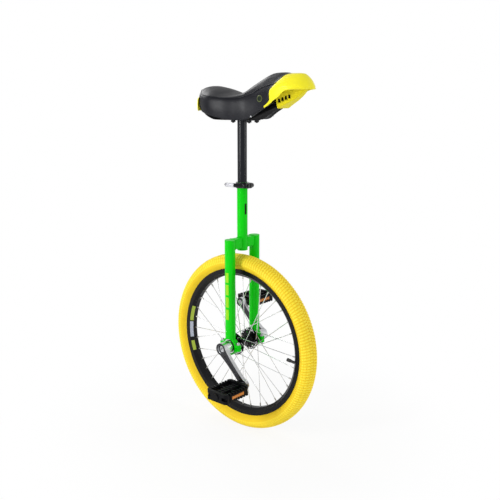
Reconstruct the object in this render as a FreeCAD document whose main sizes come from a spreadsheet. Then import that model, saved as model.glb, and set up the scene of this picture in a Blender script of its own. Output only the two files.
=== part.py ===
import FreeCAD, Part
import math
import os

import Sketcher

# A 20-inch unicycle in millimetres. X points forward, Y to the rider's left, Z up.
# The origin is on the ground, right below the axle.

V = FreeCAD.Vector
RIGHT, LEFT = -1, 1
SIDES = {"right": RIGHT, "left": LEFT}

SIZES = {
    # tyre, tube and rim; radii are from the axle, widths are across the wheel
    "rim_radius": 212, "rim_half_width": 15.5, "rim_flange": 1.6, "rim_wall_height": 12,
    "rim_seat_drop": 9, "rim_well_drop": 13, "rim_well_half_width": 9, "rim_depth": 20.5,
    "bed_half_width": 7.3, "tape_thickness": 0.8,
    "tyre_height": 40, "tyre_widest_share": 0.54, "tyre_half_width": 25.5, "tyre_wall": 3.2,
    "bead_drop": 8, "bead_gap": 0.2, "tube_gap": 0.5, "tube_neck": 8,
    # spokes and nipples
    "spokes_per_side": 18, "spoke_crossings": 3, "spoke_radius": 1, "spoke_head_radius": 2,
    "spoke_head_height": 0.9, "spoke_hole_clearance": 0.15, "spoke_stagger": 1.5, "spoke_lift": 1.6,
    "nipple_radius": 2.1, "nipple_length": 13, "nipple_sunk": 2.5, "nipple_clearance": 0.1,
    # hub
    "flange_radius": 31, "flange_offset": 30, "flange_thickness": 2.4, "spoke_circle": 27,
    "barrel_radius": 13.5, "barrel_end_radius": 16, "barrel_taper": 9, "hub_end": 39, "hub_nose_radius": 12.5,
    "window_circle": 20.5, "window_radius": 3.6, "windows": 6,
    # axle and its bearings
    "axle_radius": 8.5, "axle_round_end": 59, "axle_end": 78, "taper_flat": 12.7, "taper_angle": 2,
    "bearing_radius": 20, "seat_clearance": 0.03, "bearing_width": 12, "outer_race": 3, "inner_race": 3,
    "seal_thickness": 1, "seal_gap": 0.4, "bolt_thread_radius": 4, "bolt_thread_depth": 22,
    # frame
    "leg_offset": 50, "leg_radius": 14.3, "leg_wall": 1.8, "leg_cap": 3,
    "crown_clearance": 13, "crown_bar_raise": 8, "crown_bar_height": 27, "crown_depth": 19,
    "crown_wall": 2.5,
    "seat_tube_radius": 14.3, "seat_tube_length": 151, "slot_width": 3, "slot_length": 34,
    # bearing holders
    "holder_radius": 25, "holder_width": 14, "holder_gap": 0.5, "lug_reach": 36, "lug_height": 8,
    "lug_bolt_offset": 28.5, "lug_bolt_radius": 3, "lug_hole_clearance": 0.2,
    "bolt_head_radius": 5.5, "bolt_head_height": 4, "nut_height": 5, "bolt_tail": 2,
    # seat clamp
    "collar_radius": 17.6, "collar_clearance": 0.1, "collar_height": 15, "ear_reach": 29.5,
    "ear_thickness": 6, "collar_split": 2.4, "skewer_radius": 2.5, "skewer_offset": 23.5,
    "skewer_clearance": 0.2, "washer_thickness": 1.6, "cam_radius": 7, "cam_gap": 0.3,
    "lever_reach": 42, "lever_height": 11, "lever_thickness": 4,
    "clamp_nut_radius": 6, "clamp_nut_length": 7,
    # cranks
    "crank_length": 114, "crank_angle": 45, "crank_inner": 59, "crank_outer": 90,
    "crank_boss_radius": 17, "crank_eye_radius": 13.5, "crank_thickness": 11,
    "crank_waist": 9, "crank_groove_half_width": 4, "crank_groove_depth": 2, "groove_inset": 24,
    "puller_radius": 11, "puller_depth": 10, "crank_bolt_head_radius": 9, "crank_bolt_head": 4,
    "crank_bolt_socket": 4.6, "eye_thread_radius": 7.1,
    # pedals
    "pedal_length": 92, "pedal_width": 70, "pedal_height": 26, "pedal_gap": 12,
    "pedal_corner": 9, "pedal_plate": 9, "pedal_end_wall": 9, "pedal_rib": 5,
    "notch_reach": 15, "notch_height": 9, "notch_depth": 7, "recess_play": 0.4, "reflector_proud": 1,
    "barrel_housing_radius": 10.5, "spindle_radius": 5.5, "spindle_flange_radius": 8.5,
    "spindle_flange": 10, "bush_radius": 8, "bush_length": 14, "running_clearance": 0.06,
    "spindle_short": 8, "cap_radius": 9, "cap_thickness": 2, "cap_plug": 4,
    "reflector_length": 56, "reflector_height": 13, "reflector_thickness": 3,
    "tooth_count": 7, "tooth_pitch": 10.5, "tooth_width": 5.5, "tooth_depth": 4,
    # seat post
    "post_radius": 12.7, "post_wall": 2.2, "post_clearance": 0.05, "post_inserted": 136,
    "post_exposed": 164, "plate_front": 48, "plate_back": 30, "plate_half_width": 24,
    "plate_thickness": 4, "plate_corner": 8, "saddle_bolt_half_length": 28, "saddle_bolt_half_width": 15,
    "saddle_bolt_middle": 10, "saddle_bolt_radius": 3, "saddle_nut_radius": 6.2,
    "saddle_nut_height": 5,
    # saddle; heights are over the post's top
    "plan_drop": 27, "plan_height": 200, "saddle_back": 126, "saddle_front": 222,
    "saddle_half_width": 80, "waist_half_width": 46, "front_half_width": 50, "tail_height": 70,
    "hump_x": -72, "hump_height": 86, "dip_x": 12, "dip_height": 67, "crown_x": 112, "crown_height": 117,
    "edge_tail_height": 26, "edge_flat_back": -10, "edge_flat_front": 58,
    "skirt": 6, "base_thickness": 5, "base_back": 112, "base_back_height": 22, "base_flat_back": -32,
    "base_flat_front": 52, "base_front": 140, "base_front_height": 31, "base_clearance": 0.3,
    # bumpers
    "bumper_wall": 3.5, "bumper_proud": 2, "bumper_gap": 1, "tail_band_front": -98, "tail_band_low": 20,
    "tail_band_high": 74, "joint_foot_x": 126, "joint_foot_low": 40, "joint_foot_height": 72,
    "joint_top_x": 166, "joint_top_height": 116, "lip_height": 82, "lip_back_x": 192,
    "lip_back_height": 78, "lip_foot_x": 160, "lip_foot_height": 64, "nose_top_x": 214,
    "nose_top_height": 107, "keel_half_width": 22, "keel_tip_x": 212, "keel_sunk": 3,
    "keel_gap": 0.5, "keel_chin": 14.5, "keel_slope": 30, "keel_heel": 8, "keel_back": 19,
    "keel_slots": 3, "keel_slot_width": 10, "keel_slot_height": 16, "keel_slot_pitch": 20,
    "keel_slot_climb": 9, "keel_slot_start": 12, "keel_slot_low": 52,
    "nose_lap": 5, "space_back": 10, "space_lead": 8, "space_drop": 2.5, "space_bow": 3,
    # how far the saddle's arcs rise over their straight lines
    "back_bow": 1, "front_bow": 3.5, "joint_bow": 3, "joint_lap": 6, "crown_bow": 3.5, "climb_bow": 4,
    "dip_bow": 5.5, "tail_bow": 8, "nose_bow": 5, "tip_bow": 2,
    # valve
    "valve_angle": 5, "valve_radius": 3.9, "valve_clearance": 0.1, "valve_length": 28,
    "valve_cap_radius": 4.7, "valve_cap_length": 11, "valve_cap_end": 1.5,
}

doc = FreeCAD.newDocument("Unicycle")
sheet = doc.addObject("Spreadsheet::Sheet", "Size")
for row, (alias, number) in enumerate(SIZES.items(), start=1):
    sheet.set(f"A{row}", alias)
    sheet.set(f"B{row}", str(number))
    sheet.setAlias(f"B{row}", alias)
doc.recompute()

nodes = []

# Places that follow from the sizes: radii from the axle, then heights from the ground.
TYRE = "(Size.rim_radius + Size.tyre_height)"
BEAD = "(Size.rim_radius - Size.bead_drop)"
BED = "(Size.rim_radius - Size.rim_depth)"
TYRE_WIDEST = f"({TYRE} - Size.tyre_widest_share * Size.tyre_height)"
AXLE = TYRE
CROWN_BOTTOM = f"(2 * {TYRE} + Size.crown_clearance)"
BAR_BOTTOM = f"({CROWN_BOTTOM} + Size.crown_bar_raise)"
CROWN_TOP = f"({BAR_BOTTOM} + Size.crown_bar_height)"
TUBE_TOP = f"({CROWN_TOP} + Size.seat_tube_length)"
POST_BOTTOM = f"({TUBE_TOP} - Size.post_inserted)"
POST_TOP = f"({TUBE_TOP} + Size.post_exposed)"


def value(expression):
    """The number that an expression on the sheet stands for."""
    result = sheet.evalExpression(str(expression))
    return getattr(result, "Value", result)


def keep(feature, label):
    """Name a finished sub-part and list it for export."""
    feature.Label = label
    nodes.append(feature)
    return feature


def place(feature, x="0", y="0", z="0"):
    """Tie a feature's position to the sheet."""
    for axis, expression in zip("xyz", (x, y, z)):
        feature.setExpression(f".Placement.Base.{axis}", expression)


def turn(feature, axis, angle):
    """Turn a feature about an axis through its own origin."""
    feature.Placement = FreeCAD.Placement(feature.Placement.Base, FreeCAD.Rotation(axis, value(angle)))


# ---- sketches -----------------------------------------------------------------------------

def new_sketch(body, role, offset="0"):
    """An empty sketch on one of the body's origin planes, moved along that plane's normal."""
    sketch = body.newObject("Sketcher::SketchObject", body.Name + "_sketch")
    plane = [feature for feature in body.Origin.OriginFeatures if feature.Role == role][0]
    sketch.AttachmentSupport = [(plane, "")]
    sketch.MapMode = "FlatFace"
    sketch.setExpression(".AttachmentOffset.Base.z", offset)
    return sketch


def pin(sketch, geometry, end, point):
    """Hold a point of the sketch at two distances from its origin."""
    for kind, expression in zip(("DistanceX", "DistanceY"), point):
        rule = Sketcher.Constraint(kind, -1, 1, geometry, end, value(expression))
        index = sketch.addConstraint(rule)
        sketch.setExpression(f"Constraints[{index}]", str(expression))


def at(point):
    return V(value(point[0]), value(point[1]), 0)


def draw_outline(sketch, *steps):
    """Closed outline. A step is a corner (x, y), or (middle, corner) for an arc through both."""
    corners = [step if isinstance(step[0], str) else step[1] for step in steps]
    joints = []
    for index, step in enumerate(steps):
        start, finish = corners[index - 1], corners[index]
        if isinstance(step[0], str):
            line = sketch.addGeometry(Part.LineSegment(at(start), at(finish)))
            pin(sketch, line, 2, finish)
            joints.append((line, 1, 2))
            continue
        arc = sketch.addGeometry(Part.Arc(at(start), at(step[0]), at(finish)))
        forward = (sketch.getPoint(arc, 1) - at(start)).Length < 1e-6
        middle = sketch.addGeometry(Part.Point(at(step[0])), True)
        pin(sketch, middle, 1, step[0])
        first, last = (1, 2) if forward else (2, 1)
        pin(sketch, arc, last, finish)
        sketch.addConstraint(Sketcher.Constraint("PointOnObject", middle, 1, arc))
        joints.append((arc, first, last))
    for index, (geometry, first, _) in enumerate(joints):
        before, _, last = joints[index - 1]
        sketch.addConstraint(Sketcher.Constraint("Coincident", before, last, geometry, first))


def draw_circle(sketch, radius, x="0", y="0"):
    circle = sketch.addGeometry(Part.Circle(at((x, y)), V(0, 0, 1), value(radius)))
    pin(sketch, circle, 3, (x, y))
    index = sketch.addConstraint(Sketcher.Constraint("Radius", circle, value(radius)))
    sketch.setExpression(f"Constraints[{index}]", str(radius))


def box_outline(x_low, x_high, y_low, y_high):
    return (x_low, y_low), (x_high, y_low), (x_high, y_high), (x_low, y_high)


# ---- features -----------------------------------------------------------------------------

def new_body(name, z="0"):
    body = doc.addObject("PartDesign::Body", name)
    place(body, z=z)
    return body


def feature_of(body, kind, sketch, **settings):
    feature = body.newObject("PartDesign::" + kind, f"{body.Name}_{kind}")
    feature.Profile = sketch
    for name, setting in settings.items():
        if isinstance(setting, str):
            feature.setExpression(name, setting)
        else:
            setattr(feature, name, setting)
    return feature


def pad(body, sketch, length, middle=False):
    return feature_of(body, "Pad", sketch, Length=length, Midplane=middle)


def pocket(body, sketch, length, middle=False, reverse=False):
    return feature_of(body, "Pocket", sketch, Length=length, Midplane=middle, Reversed=reverse)


def revolve(body, sketch):
    """Turn a profile, drawn in across and radius, about the body's Y axis."""
    feature = feature_of(body, "Revolution", sketch, Angle=360.0)
    feature.ReferenceAxis = (sketch, ["H_Axis"])
    return feature


def around_axle(body, features, count):
    """Repeat features about the body's Y axis."""
    pattern = body.newObject("PartDesign::PolarPattern", body.Name + "_pattern")
    pattern.Originals = features
    axis = [item for item in body.Origin.OriginFeatures if item.Role == "Y_Axis"][0]
    pattern.Axis = (axis, [""])
    pattern.Angle = 360.0
    pattern.setExpression("Occurrences", count)
    body.Tip = pattern
    return pattern


def round_edges(body, chosen, radius):
    """Round the edges of the body's tip for which chosen(edge) is true."""
    doc.recompute()
    tip = body.Tip
    names = [f"Edge{n}" for n, edge in enumerate(tip.Shape.Edges, start=1) if chosen(edge)]
    fillet = body.newObject("PartDesign::Fillet", body.Name + "_fillet")
    fillet.Base = (tip, names)
    fillet.setExpression("Radius", radius)
    return fillet


def along(edge, axis):
    """True for a straight edge that runs along the axis."""
    return edge.Curve.TypeId == "Part::GeomLine" and edge.Curve.Direction.cross(axis).Length < 1e-6


def cylinder(name, radius, length, x="0", y="0", z="0", axis=V(0, 0, 1)):
    solid = doc.addObject("Part::Cylinder", name)
    solid.setExpression("Radius", radius)
    solid.setExpression("Height", length)
    solid.Placement = FreeCAD.Placement(V(), FreeCAD.Rotation(V(0, 0, 1), axis))
    place(solid, x, y, z)
    return solid


def hexagon(name, radius, length, x="0", y="0", z="0", axis=V(0, 0, 1)):
    """A hexagonal bar with flats, not corners, towards its two X sides."""
    solid = doc.addObject("Part::Prism", name)
    solid.Polygon = 6
    solid.setExpression("Circumradius", radius)
    solid.setExpression("Height", length)
    flats = FreeCAD.Rotation(V(0, 0, 1), 30)
    solid.Placement = FreeCAD.Placement(V(), FreeCAD.Rotation(V(0, 0, 1), axis) * flats)
    place(solid, x, y, z)
    return solid


def block(name, x, y, z):
    """A box from (low, high) pairs of expressions."""
    solid = doc.addObject("Part::Box", name)
    for size, (low, high) in zip(("Length", "Width", "Height"), (x, y, z)):
        solid.setExpression(size, f"({high}) - ({low})")
    place(solid, x[0], y[0], z[0])
    return solid


def cut(name, base, *tools):
    for tool in tools:
        result = doc.addObject("Part::Cut", name)
        result.Base = base
        result.Tool = tool
        base = result
    return base


def fuse(name, *solids):
    result = doc.addObject("Part::MultiFuse", name)
    result.Shapes = list(solids)
    result.Refine = True
    return result


def common(name, *solids):
    result = doc.addObject("Part::MultiCommon", name)
    result.Shapes = list(solids)
    return result


def group(name, solids):
    """Several separate solids in one sub-part."""
    result = doc.addObject("Part::Compound", name)
    result.Links = list(solids)
    return result


def ring(label, outer, inner, length, y, z=TYRE):
    """A ring about the axle's line, centred on y."""
    body = new_body(label, z)
    sketch = new_sketch(body, "XZ_Plane", f"-({y})")
    draw_circle(sketch, outer)
    draw_circle(sketch, inner)
    pad(body, sketch, length, middle=True)
    return body


# ---- frame --------------------------------------------------------------------------------



def make_seat_tube():
    body = new_body("seat_tube")
    sketch = new_sketch(body, "XY_Plane", CROWN_BOTTOM)
    draw_circle(sketch, "Size.seat_tube_radius")
    draw_circle(sketch, "Size.post_radius + Size.post_clearance")
    pad(body, sketch, f"{TUBE_TOP} - {CROWN_BOTTOM}")
    slot = new_sketch(body, "XY_Plane", TUBE_TOP)
    draw_outline(slot, *box_outline("-Size.seat_tube_radius - 1", "-Size.seat_tube_radius / 2",
                                    "-Size.slot_width / 2", "Size.slot_width / 2"))
    pocket(body, slot, "Size.slot_length")
    keep(body, "seat_tube")


def make_leg(name, side):
    """A fork leg: a tube with a flat closed top, coped over the bearing holder at its foot."""
    body = new_body(name + "_leg_tube")
    tube = new_sketch(body, "XY_Plane", AXLE)
    centre = f"{side} * Size.leg_offset"
    draw_circle(tube, "Size.leg_radius", "0", centre)
    draw_circle(tube, "Size.leg_radius - Size.leg_wall", "0", centre)
    pad(body, tube, f"{CROWN_TOP} - Size.leg_cap - {AXLE}")
    top = new_sketch(body, "XY_Plane", f"{CROWN_TOP} - Size.leg_cap")
    draw_circle(top, "Size.leg_radius", "0", centre)
    pad(body, top, "Size.leg_cap")
    cope = cylinder(name + "_cope", "Size.holder_radius", "2 * Size.leg_radius + 2", "0",
                    f"{centre} - Size.leg_radius - 1", AXLE, V(0, 1, 0))
    keep(cut(name + "_leg", body, cope), name + "_fork_leg")


def make_crown_bar(name, side):
    """A box-section bar from the seat tube to a leg, coped to both."""
    reach = ("-Size.leg_offset", "0") if side == RIGHT else ("0", "Size.leg_offset")
    half, wall = "Size.crown_depth / 2", "Size.crown_wall"
    outer = block(name + "_bar_outer", (f"-{half}", half), reach, (BAR_BOTTOM, CROWN_TOP))
    inner = block(name + "_bar_inner", (f"{wall} - {half}", f"{half} - {wall}"), reach,
                  (f"{BAR_BOTTOM} + {wall}", f"{CROWN_TOP} - {wall}"))
    height = f"{CROWN_TOP} - {BAR_BOTTOM}"
    tube = cylinder(name + "_bar_tube", "Size.seat_tube_radius", height, z=BAR_BOTTOM)
    leg = cylinder(name + "_bar_leg", "Size.leg_radius", height, y=f"{side} * Size.leg_offset",
                   z=BAR_BOTTOM)
    keep(cut(name + "_bar", outer, inner, tube, leg), name + "_crown_bar")


def make_bearing_clamp(name, side, up):
    """Half of a bearing housing with a bolt lug at each end; up is 1 for the holder, -1 for the cap."""
    def z(height):
        return f"{up} * ({height})"
    label = name + ("_bearing_holder" if up == 1 else "_bearing_cap")
    body = new_body(label + "_body", AXLE)
    sketch = new_sketch(body, "XZ_Plane", f"{-side} * Size.leg_offset")
    gap = z("Size.holder_gap")
    shelf = z("Size.holder_gap + Size.lug_height")
    bore = "sqrt(Size.bearing_radius ^ 2 - Size.holder_gap ^ 2)"
    shell = "sqrt(Size.holder_radius ^ 2 - (Size.holder_gap + Size.lug_height) ^ 2)"
    draw_outline(
        sketch,
        ("-Size.lug_reach", gap), ("-Size.lug_reach", shelf), (f"-{shell}", shelf),
        (("0", z("Size.holder_radius")), (shell, shelf)),
        ("Size.lug_reach", shelf), ("Size.lug_reach", gap), (bore, gap),
        (("0", z("Size.bearing_radius")), (f"-{bore}", gap)),
    )
    pad(body, sketch, "Size.holder_width", middle=True)
    holes = new_sketch(body, "XY_Plane")
    for end in (-1, 1):
        draw_circle(holes, "Size.lug_bolt_radius + Size.lug_hole_clearance",
                    f"{end} * Size.lug_bolt_offset", f"{side} * Size.leg_offset")
    pocket(body, holes, "4 * Size.holder_radius", middle=True)
    edge_line = value("Size.lug_reach - 1")
    round_edges(body, lambda edge: along(edge, V(0, 0, 1)) and abs(edge.CenterOfMass.x) > edge_line,
                "Size.holder_width / 2 - 1")
    keep(body, label)


def make_cap_bolts():
    """Hex bolts that come up through the caps, with a nut on each holder lug."""
    bolts, nuts = [], []
    lug = "(Size.holder_gap + Size.lug_height)"
    for side in SIDES.values():
        for end in (-1, 1):
            x, y = f"{end} * Size.lug_bolt_offset", f"{side} * Size.leg_offset"
            head = hexagon("cap_bolt_head", "Size.bolt_head_radius", "Size.bolt_head_height",
                         x, y, f"{AXLE} - {lug} - Size.bolt_head_height")
            shank = cylinder("cap_bolt_shank", "Size.lug_bolt_radius",
                             f"2 * {lug} + Size.nut_height + Size.bolt_tail", x, y, f"{AXLE} - {lug}")
            bolts.append(fuse("cap_bolt", head, shank))
            nut_seat = f"{AXLE} + {lug}"
            nut = hexagon("cap_nut_blank", "Size.bolt_head_radius", "Size.nut_height", x, y, nut_seat)
            hole = cylinder("cap_nut_hole", "Size.lug_bolt_radius", "Size.nut_height", x, y, nut_seat)
            nuts.append(cut("cap_nut", nut, hole))
    keep(group("cap_bolts", bolts), "bearing_cap_bolts")
    keep(group("cap_nuts", nuts), "bearing_cap_nuts")


# ---- bearings -----------------------------------------------------------------------------

def make_bearings():
    """Sealed bearings: the outer rings and seals stay with the frame, the inner rings turn."""
    inner_rings, seals = [], []
    land = "Size.axle_radius + Size.inner_race"
    for name, side in SIDES.items():
        y = f"{side} * Size.leg_offset"
        outer_ring = ring(name + "_outer_ring", "Size.bearing_radius - Size.seat_clearance",
                          "Size.bearing_radius - Size.outer_race", "Size.bearing_width", y)
        keep(outer_ring, name + "_bearing_outer_ring")
        inner_rings.append(ring(name + "_inner_ring", land, "Size.axle_radius + Size.seat_clearance",
                                "Size.bearing_width", y))
        for end in (-1, 1):
            seal_y = f"{y} + {end} * (Size.bearing_width - Size.seal_thickness) / 2"
            seals.append(ring(name + "_seal", "Size.bearing_radius - Size.outer_race",
                              f"{land} + Size.seal_gap", "Size.seal_thickness", seal_y))
    keep(group("inner_rings", inner_rings), "bearing_inner_rings")
    keep(group("seals", seals), "bearing_seals")


# ---- seat clamp ---------------------------------------------------------------------------

CLAMP_MIDDLE = f"({TUBE_TOP} - Size.collar_height / 2)"
EAR_FACE = "(Size.collar_split / 2 + Size.ear_thickness)"
PIVOT_Y = f"-({EAR_FACE} + Size.washer_thickness + Size.cam_gap + Size.cam_radius)"


def make_collar():
    body = new_body("collar", f"{TUBE_TOP} - Size.collar_height")
    band = new_sketch(body, "XY_Plane")
    draw_circle(band, "Size.collar_radius")
    pad(body, band, "Size.collar_height")
    ears = new_sketch(body, "XY_Plane")
    draw_outline(ears, *box_outline("0", "Size.ear_reach", f"-{EAR_FACE}", EAR_FACE))
    pad(body, ears, "Size.collar_height")
    bore = new_sketch(body, "XY_Plane")
    draw_circle(bore, "Size.seat_tube_radius + Size.collar_clearance")
    pocket(body, bore, "Size.collar_height", reverse=True)
    split = new_sketch(body, "XY_Plane")
    draw_outline(split, *box_outline("Size.seat_tube_radius - 2", "Size.ear_reach + 1",
                                     "-Size.collar_split / 2", "Size.collar_split / 2"))
    pocket(body, split, "Size.collar_height", reverse=True)
    hole = new_sketch(body, "XZ_Plane")
    draw_circle(hole, "Size.skewer_radius + Size.skewer_clearance", "Size.skewer_offset",
                "Size.collar_height / 2")
    pocket(body, hole, "4 * Size.ear_thickness", middle=True)
    edge_line = value("Size.ear_reach - 1")
    round_edges(body, lambda edge: along(edge, V(0, 1, 0)) and edge.CenterOfMass.x > edge_line,
                "Size.collar_height / 4")
    keep(body, "clamp_collar")


def make_skewer():
    """The cross bolt, its nut on the left and the washer that the cam bears on."""
    start = f"-({EAR_FACE} + Size.washer_thickness)"
    length = f"2 * {EAR_FACE} + Size.washer_thickness + Size.clamp_nut_length"
    rod_solid = cross_cylinder("skewer_rod", "Size.skewer_radius", length, start)
    keep(rod_solid, "clamp_skewer")
    washer = cross_cylinder("washer_blank", "Size.cam_radius - Size.cam_gap", "Size.washer_thickness", start)
    keep(cut("washer", washer, rod_solid), "clamp_washer")
    nut = cross_cylinder("nut_blank", "Size.clamp_nut_radius", "Size.clamp_nut_length", EAR_FACE)
    keep(cut("clamp_nut_cut", nut, rod_solid), "clamp_nut")


def cross_cylinder(name, radius, length, start):
    """A round solid on the line of the clamp's cross bolt."""
    return cylinder(name, radius, length, "Size.skewer_offset", start, CLAMP_MIDDLE, V(0, 1, 0))


def make_lever():
    """The cam lever, closed: its arm lies back along the right side of the collar."""
    body = new_body("lever", f"{CLAMP_MIDDLE} - Size.lever_height / 2")
    hub = new_sketch(body, "XY_Plane")
    draw_circle(hub, "Size.cam_radius", "Size.skewer_offset", PIVOT_Y)
    pad(body, hub, "Size.lever_height")
    inner = f"{PIVOT_Y} - 1"
    outer = f"{inner} - Size.lever_thickness"
    arm = new_sketch(body, "XY_Plane")
    draw_outline(
        arm,
        ("Size.skewer_offset", f"{PIVOT_Y} + 2"),
        (("-Size.lever_reach / 4", f"{inner} - 3"), ("-Size.lever_reach", f"{inner} - 9")),
        ("-Size.lever_reach + 2", f"{outer} - 10"),
        (("-Size.lever_reach / 4", f"{outer} - 3.5"),
         ("Size.skewer_offset", f"{PIVOT_Y} - Size.cam_radius + 1")),
    )
    pad(body, arm, "Size.lever_height")
    keep(body, "clamp_lever")


# ---- wheel --------------------------------------------------------------------------------

def make_tyre():
    """An open casing: two beads, sidewalls that bulge over the rim, and a round tread."""
    body = new_body("tyre_body", AXLE)
    sketch = new_sketch(body, "YZ_Plane")
    half = "Size.tyre_half_width"
    foot = "(Size.rim_half_width - Size.rim_flange - Size.bead_gap)"
    inner_top = f"{TYRE} - 2 * Size.tyre_wall"

    def round_part(degrees, across, rise):
        return (f"{half} * cos({degrees} deg) * {across}",
                f"{TYRE_WIDEST} + {rise} * Size.tyre_height * sin({degrees} deg)")

    def one_side(across):
        neck = [(f"{foot} * {across}", BEAD), (f"{foot} * {across}", "Size.rim_radius + 0.5")]
        bulge = [round_part(degrees, across, "0.42") for degrees in (-45, -20)]
        crown = [round_part(degrees, across, "Size.tyre_widest_share") for degrees in range(0, 90, 18)]
        return neck + bulge + crown

    def one_lining(across):
        bead = f"({foot} - Size.tyre_wall)"
        return [(f"{bead} * {across}", BEAD),
                (f"({bead} + 1) * {across}", "Size.rim_radius + 1"),
                (f"({half} - 1.2 * Size.tyre_wall) * {across}", TYRE_WIDEST),
                (f"{half} / 2 * {across}", inner_top)]

    lining = one_lining(-1) + one_lining(1)[::-1]
    tread = [("0", TYRE)]
    draw_outline(sketch, *one_side(1), *tread, *reversed(one_side(-1)), *lining)
    revolve(body, sketch)
    keep(body, "tyre")


def make_inner_tube():
    """An inflated tube that fills the casing down to the rim tape."""
    body = new_body("inner_tube_body", AXLE)
    sketch = new_sketch(body, "YZ_Plane")
    half = "(Size.tyre_half_width - 2.5 * Size.tyre_wall)"
    middle = f"{TYRE_WIDEST} - Size.tyre_wall"
    top = f"{TYRE} - 2 * Size.tyre_wall - Size.tube_gap"
    floor = "Size.rim_radius - Size.rim_well_drop + Size.tape_thickness"
    neck, shoulder = "Size.tube_neck", "Size.rim_radius + Size.tube_neck / 2"
    draw_outline(
        sketch,
        (f"-{neck}", floor), (neck, floor), (neck, shoulder), (half, middle), (f"{half} / 2", top),
        (f"-{half} / 2", top), (f"-{half}", middle), (f"-{neck}", shoulder),
    )
    revolve(body, sketch)
    keep(body, "inner_tube")


def make_rim():
    """A deep rim section with a well, bored for the nipples and the valve."""
    body = new_body("rim_body", AXLE)
    sketch = new_sketch(body, "YZ_Plane")
    half, edge = "Size.rim_half_width", "Size.rim_radius"
    side = f"{half} - Size.rim_flange"
    draw_outline(
        sketch,
        (half, edge), (side, edge), (side, f"{edge} - Size.rim_seat_drop"),
        ("Size.rim_well_half_width", f"{edge} - Size.rim_well_drop"),
        ("-Size.rim_well_half_width", f"{edge} - Size.rim_well_drop"),
        (f"-({side})", f"{edge} - Size.rim_seat_drop"), (f"-({side})", edge), (f"-{half}", edge),
        (f"-{half}", f"{edge} - Size.rim_wall_height"), ("-Size.bed_half_width", BED),
        ("Size.bed_half_width", BED), (half, f"{edge} - Size.rim_wall_height"),
    )
    revolve(body, sketch)
    holes = shape_of("nipple_holes", [nipple_at(*end, "Size.nipple_clearance") for end in all_spokes()])
    valve_hole = valve_cylinder("valve_hole", "Size.valve_radius + Size.valve_clearance",
                                f"{BED} - 5", "Size.rim_radius")
    keep(cut("rim_cut", body, holes, valve_hole), "rim")


def make_rim_tape():
    body = new_body("rim_tape_body", AXLE)
    sketch = new_sketch(body, "YZ_Plane")
    floor = "Size.rim_radius - Size.rim_well_drop"
    draw_outline(sketch, *box_outline("-Size.rim_well_half_width", "Size.rim_well_half_width",
                                      floor, f"{floor} + Size.tape_thickness"))
    revolve(body, sketch)
    valve_hole = valve_cylinder("tape_hole", "Size.valve_radius + Size.valve_clearance",
                                BED, "Size.rim_radius")
    keep(cut("rim_tape_cut", body, valve_hole), "rim_tape")


# The lacing: each flange has spokes_per_side holes, and its spokes lean forward and back in turn.

def wheel_point(radius, degrees, y):
    angle = math.radians(degrees)
    return V(radius * math.cos(angle), y, radius * math.sin(angle))


def spoke_ends(side, index):
    """Where a spoke meets its flange and its rim hole, and whether it lies inside the flange."""
    count = value("Size.spokes_per_side")
    pitch = 360 / count
    inside = index % 2 == 0
    lean = value("Size.spoke_crossings") * pitch * (1 if inside else -1)
    start = index * pitch + (pitch / 2 if side == LEFT else 0)
    off_flange = "(Size.flange_thickness / 2 + Size.spoke_radius)"
    across = f"Size.flange_offset - {off_flange}"
    if not inside:
        across = f"Size.flange_offset + {off_flange} + Size.spoke_lift"
    flange = wheel_point(value("Size.spoke_circle"), start, side * value(across))
    rim = wheel_point(value(BED), start + lean, side * value("Size.spoke_stagger"))
    return flange, rim, inside


def all_spokes():
    count = int(value("Size.spokes_per_side"))
    return [spoke_ends(side, index)[:2] for side in SIDES.values() for index in range(count)]


def rod(start, finish, radius, sides=6):
    """A straight rod with flats between two points."""
    axis = finish - start
    corner = V(radius, 0, 0)
    corners = [FreeCAD.Rotation(V(0, 0, 1), 360 * n / sides).multVec(corner) for n in range(sides)]
    turn_to = FreeCAD.Rotation(V(0, 0, 1), axis)
    loop = [start + turn_to.multVec(point) for point in corners]
    return Part.Face(Part.makePolygon(loop + loop[:1])).extrude(axis)


def nipple_at(flange, rim, clearance="0"):
    inward = (flange - rim).normalize()
    sunk = value("Size.nipple_sunk")
    start = rim - inward * (sunk + (value(clearance)))
    return rod(start, rim + inward * (value("Size.nipple_length") - sunk),
               value("Size.nipple_radius") + value(clearance))


def spoke_at(side, index):
    """A spoke: its head and elbow at the flange, then a straight blade to its nipple."""
    flange, rim, inside = spoke_ends(side, index)
    radius = value("Size.spoke_radius")
    inward = (flange - rim).normalize()
    tip = rim + inward * value("Size.nipple_length - Size.nipple_sunk")
    through = V(0, side * (1 if inside else -1), 0)
    plate = "Size.flange_thickness" if inside else "Size.flange_thickness + Size.spoke_lift"
    head_seat = flange + through * (radius + value(plate))
    blade = rod(tip, flange + inward * radius * 0.6, radius)
    elbow = rod(flange - through * radius * 0.8, head_seat + through * 0.1, radius)
    head_top = head_seat + through * value("Size.spoke_head_height")
    head = rod(head_seat, head_top, value("Size.spoke_head_radius"))
    return blade.fuse([elbow, head]).removeSplitter()


def shape_of(label, solids):
    """A Part feature from shapes worked out in the wheel's own frame, moved up to the axle."""
    feature = doc.addObject("Part::Feature", label)
    feature.Shape = Part.makeCompound(solids)
    place(feature, z=AXLE)
    return feature


def make_spokes():
    count = int(value("Size.spokes_per_side"))
    for name, side in SIDES.items():
        spokes = [spoke_at(side, index) for index in range(count)]
        keep(shape_of(name + "_spoke_set", spokes), name + "_spokes")
    keep(shape_of("nipple_set", [nipple_at(*ends) for ends in all_spokes()]), "nipples")


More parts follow.
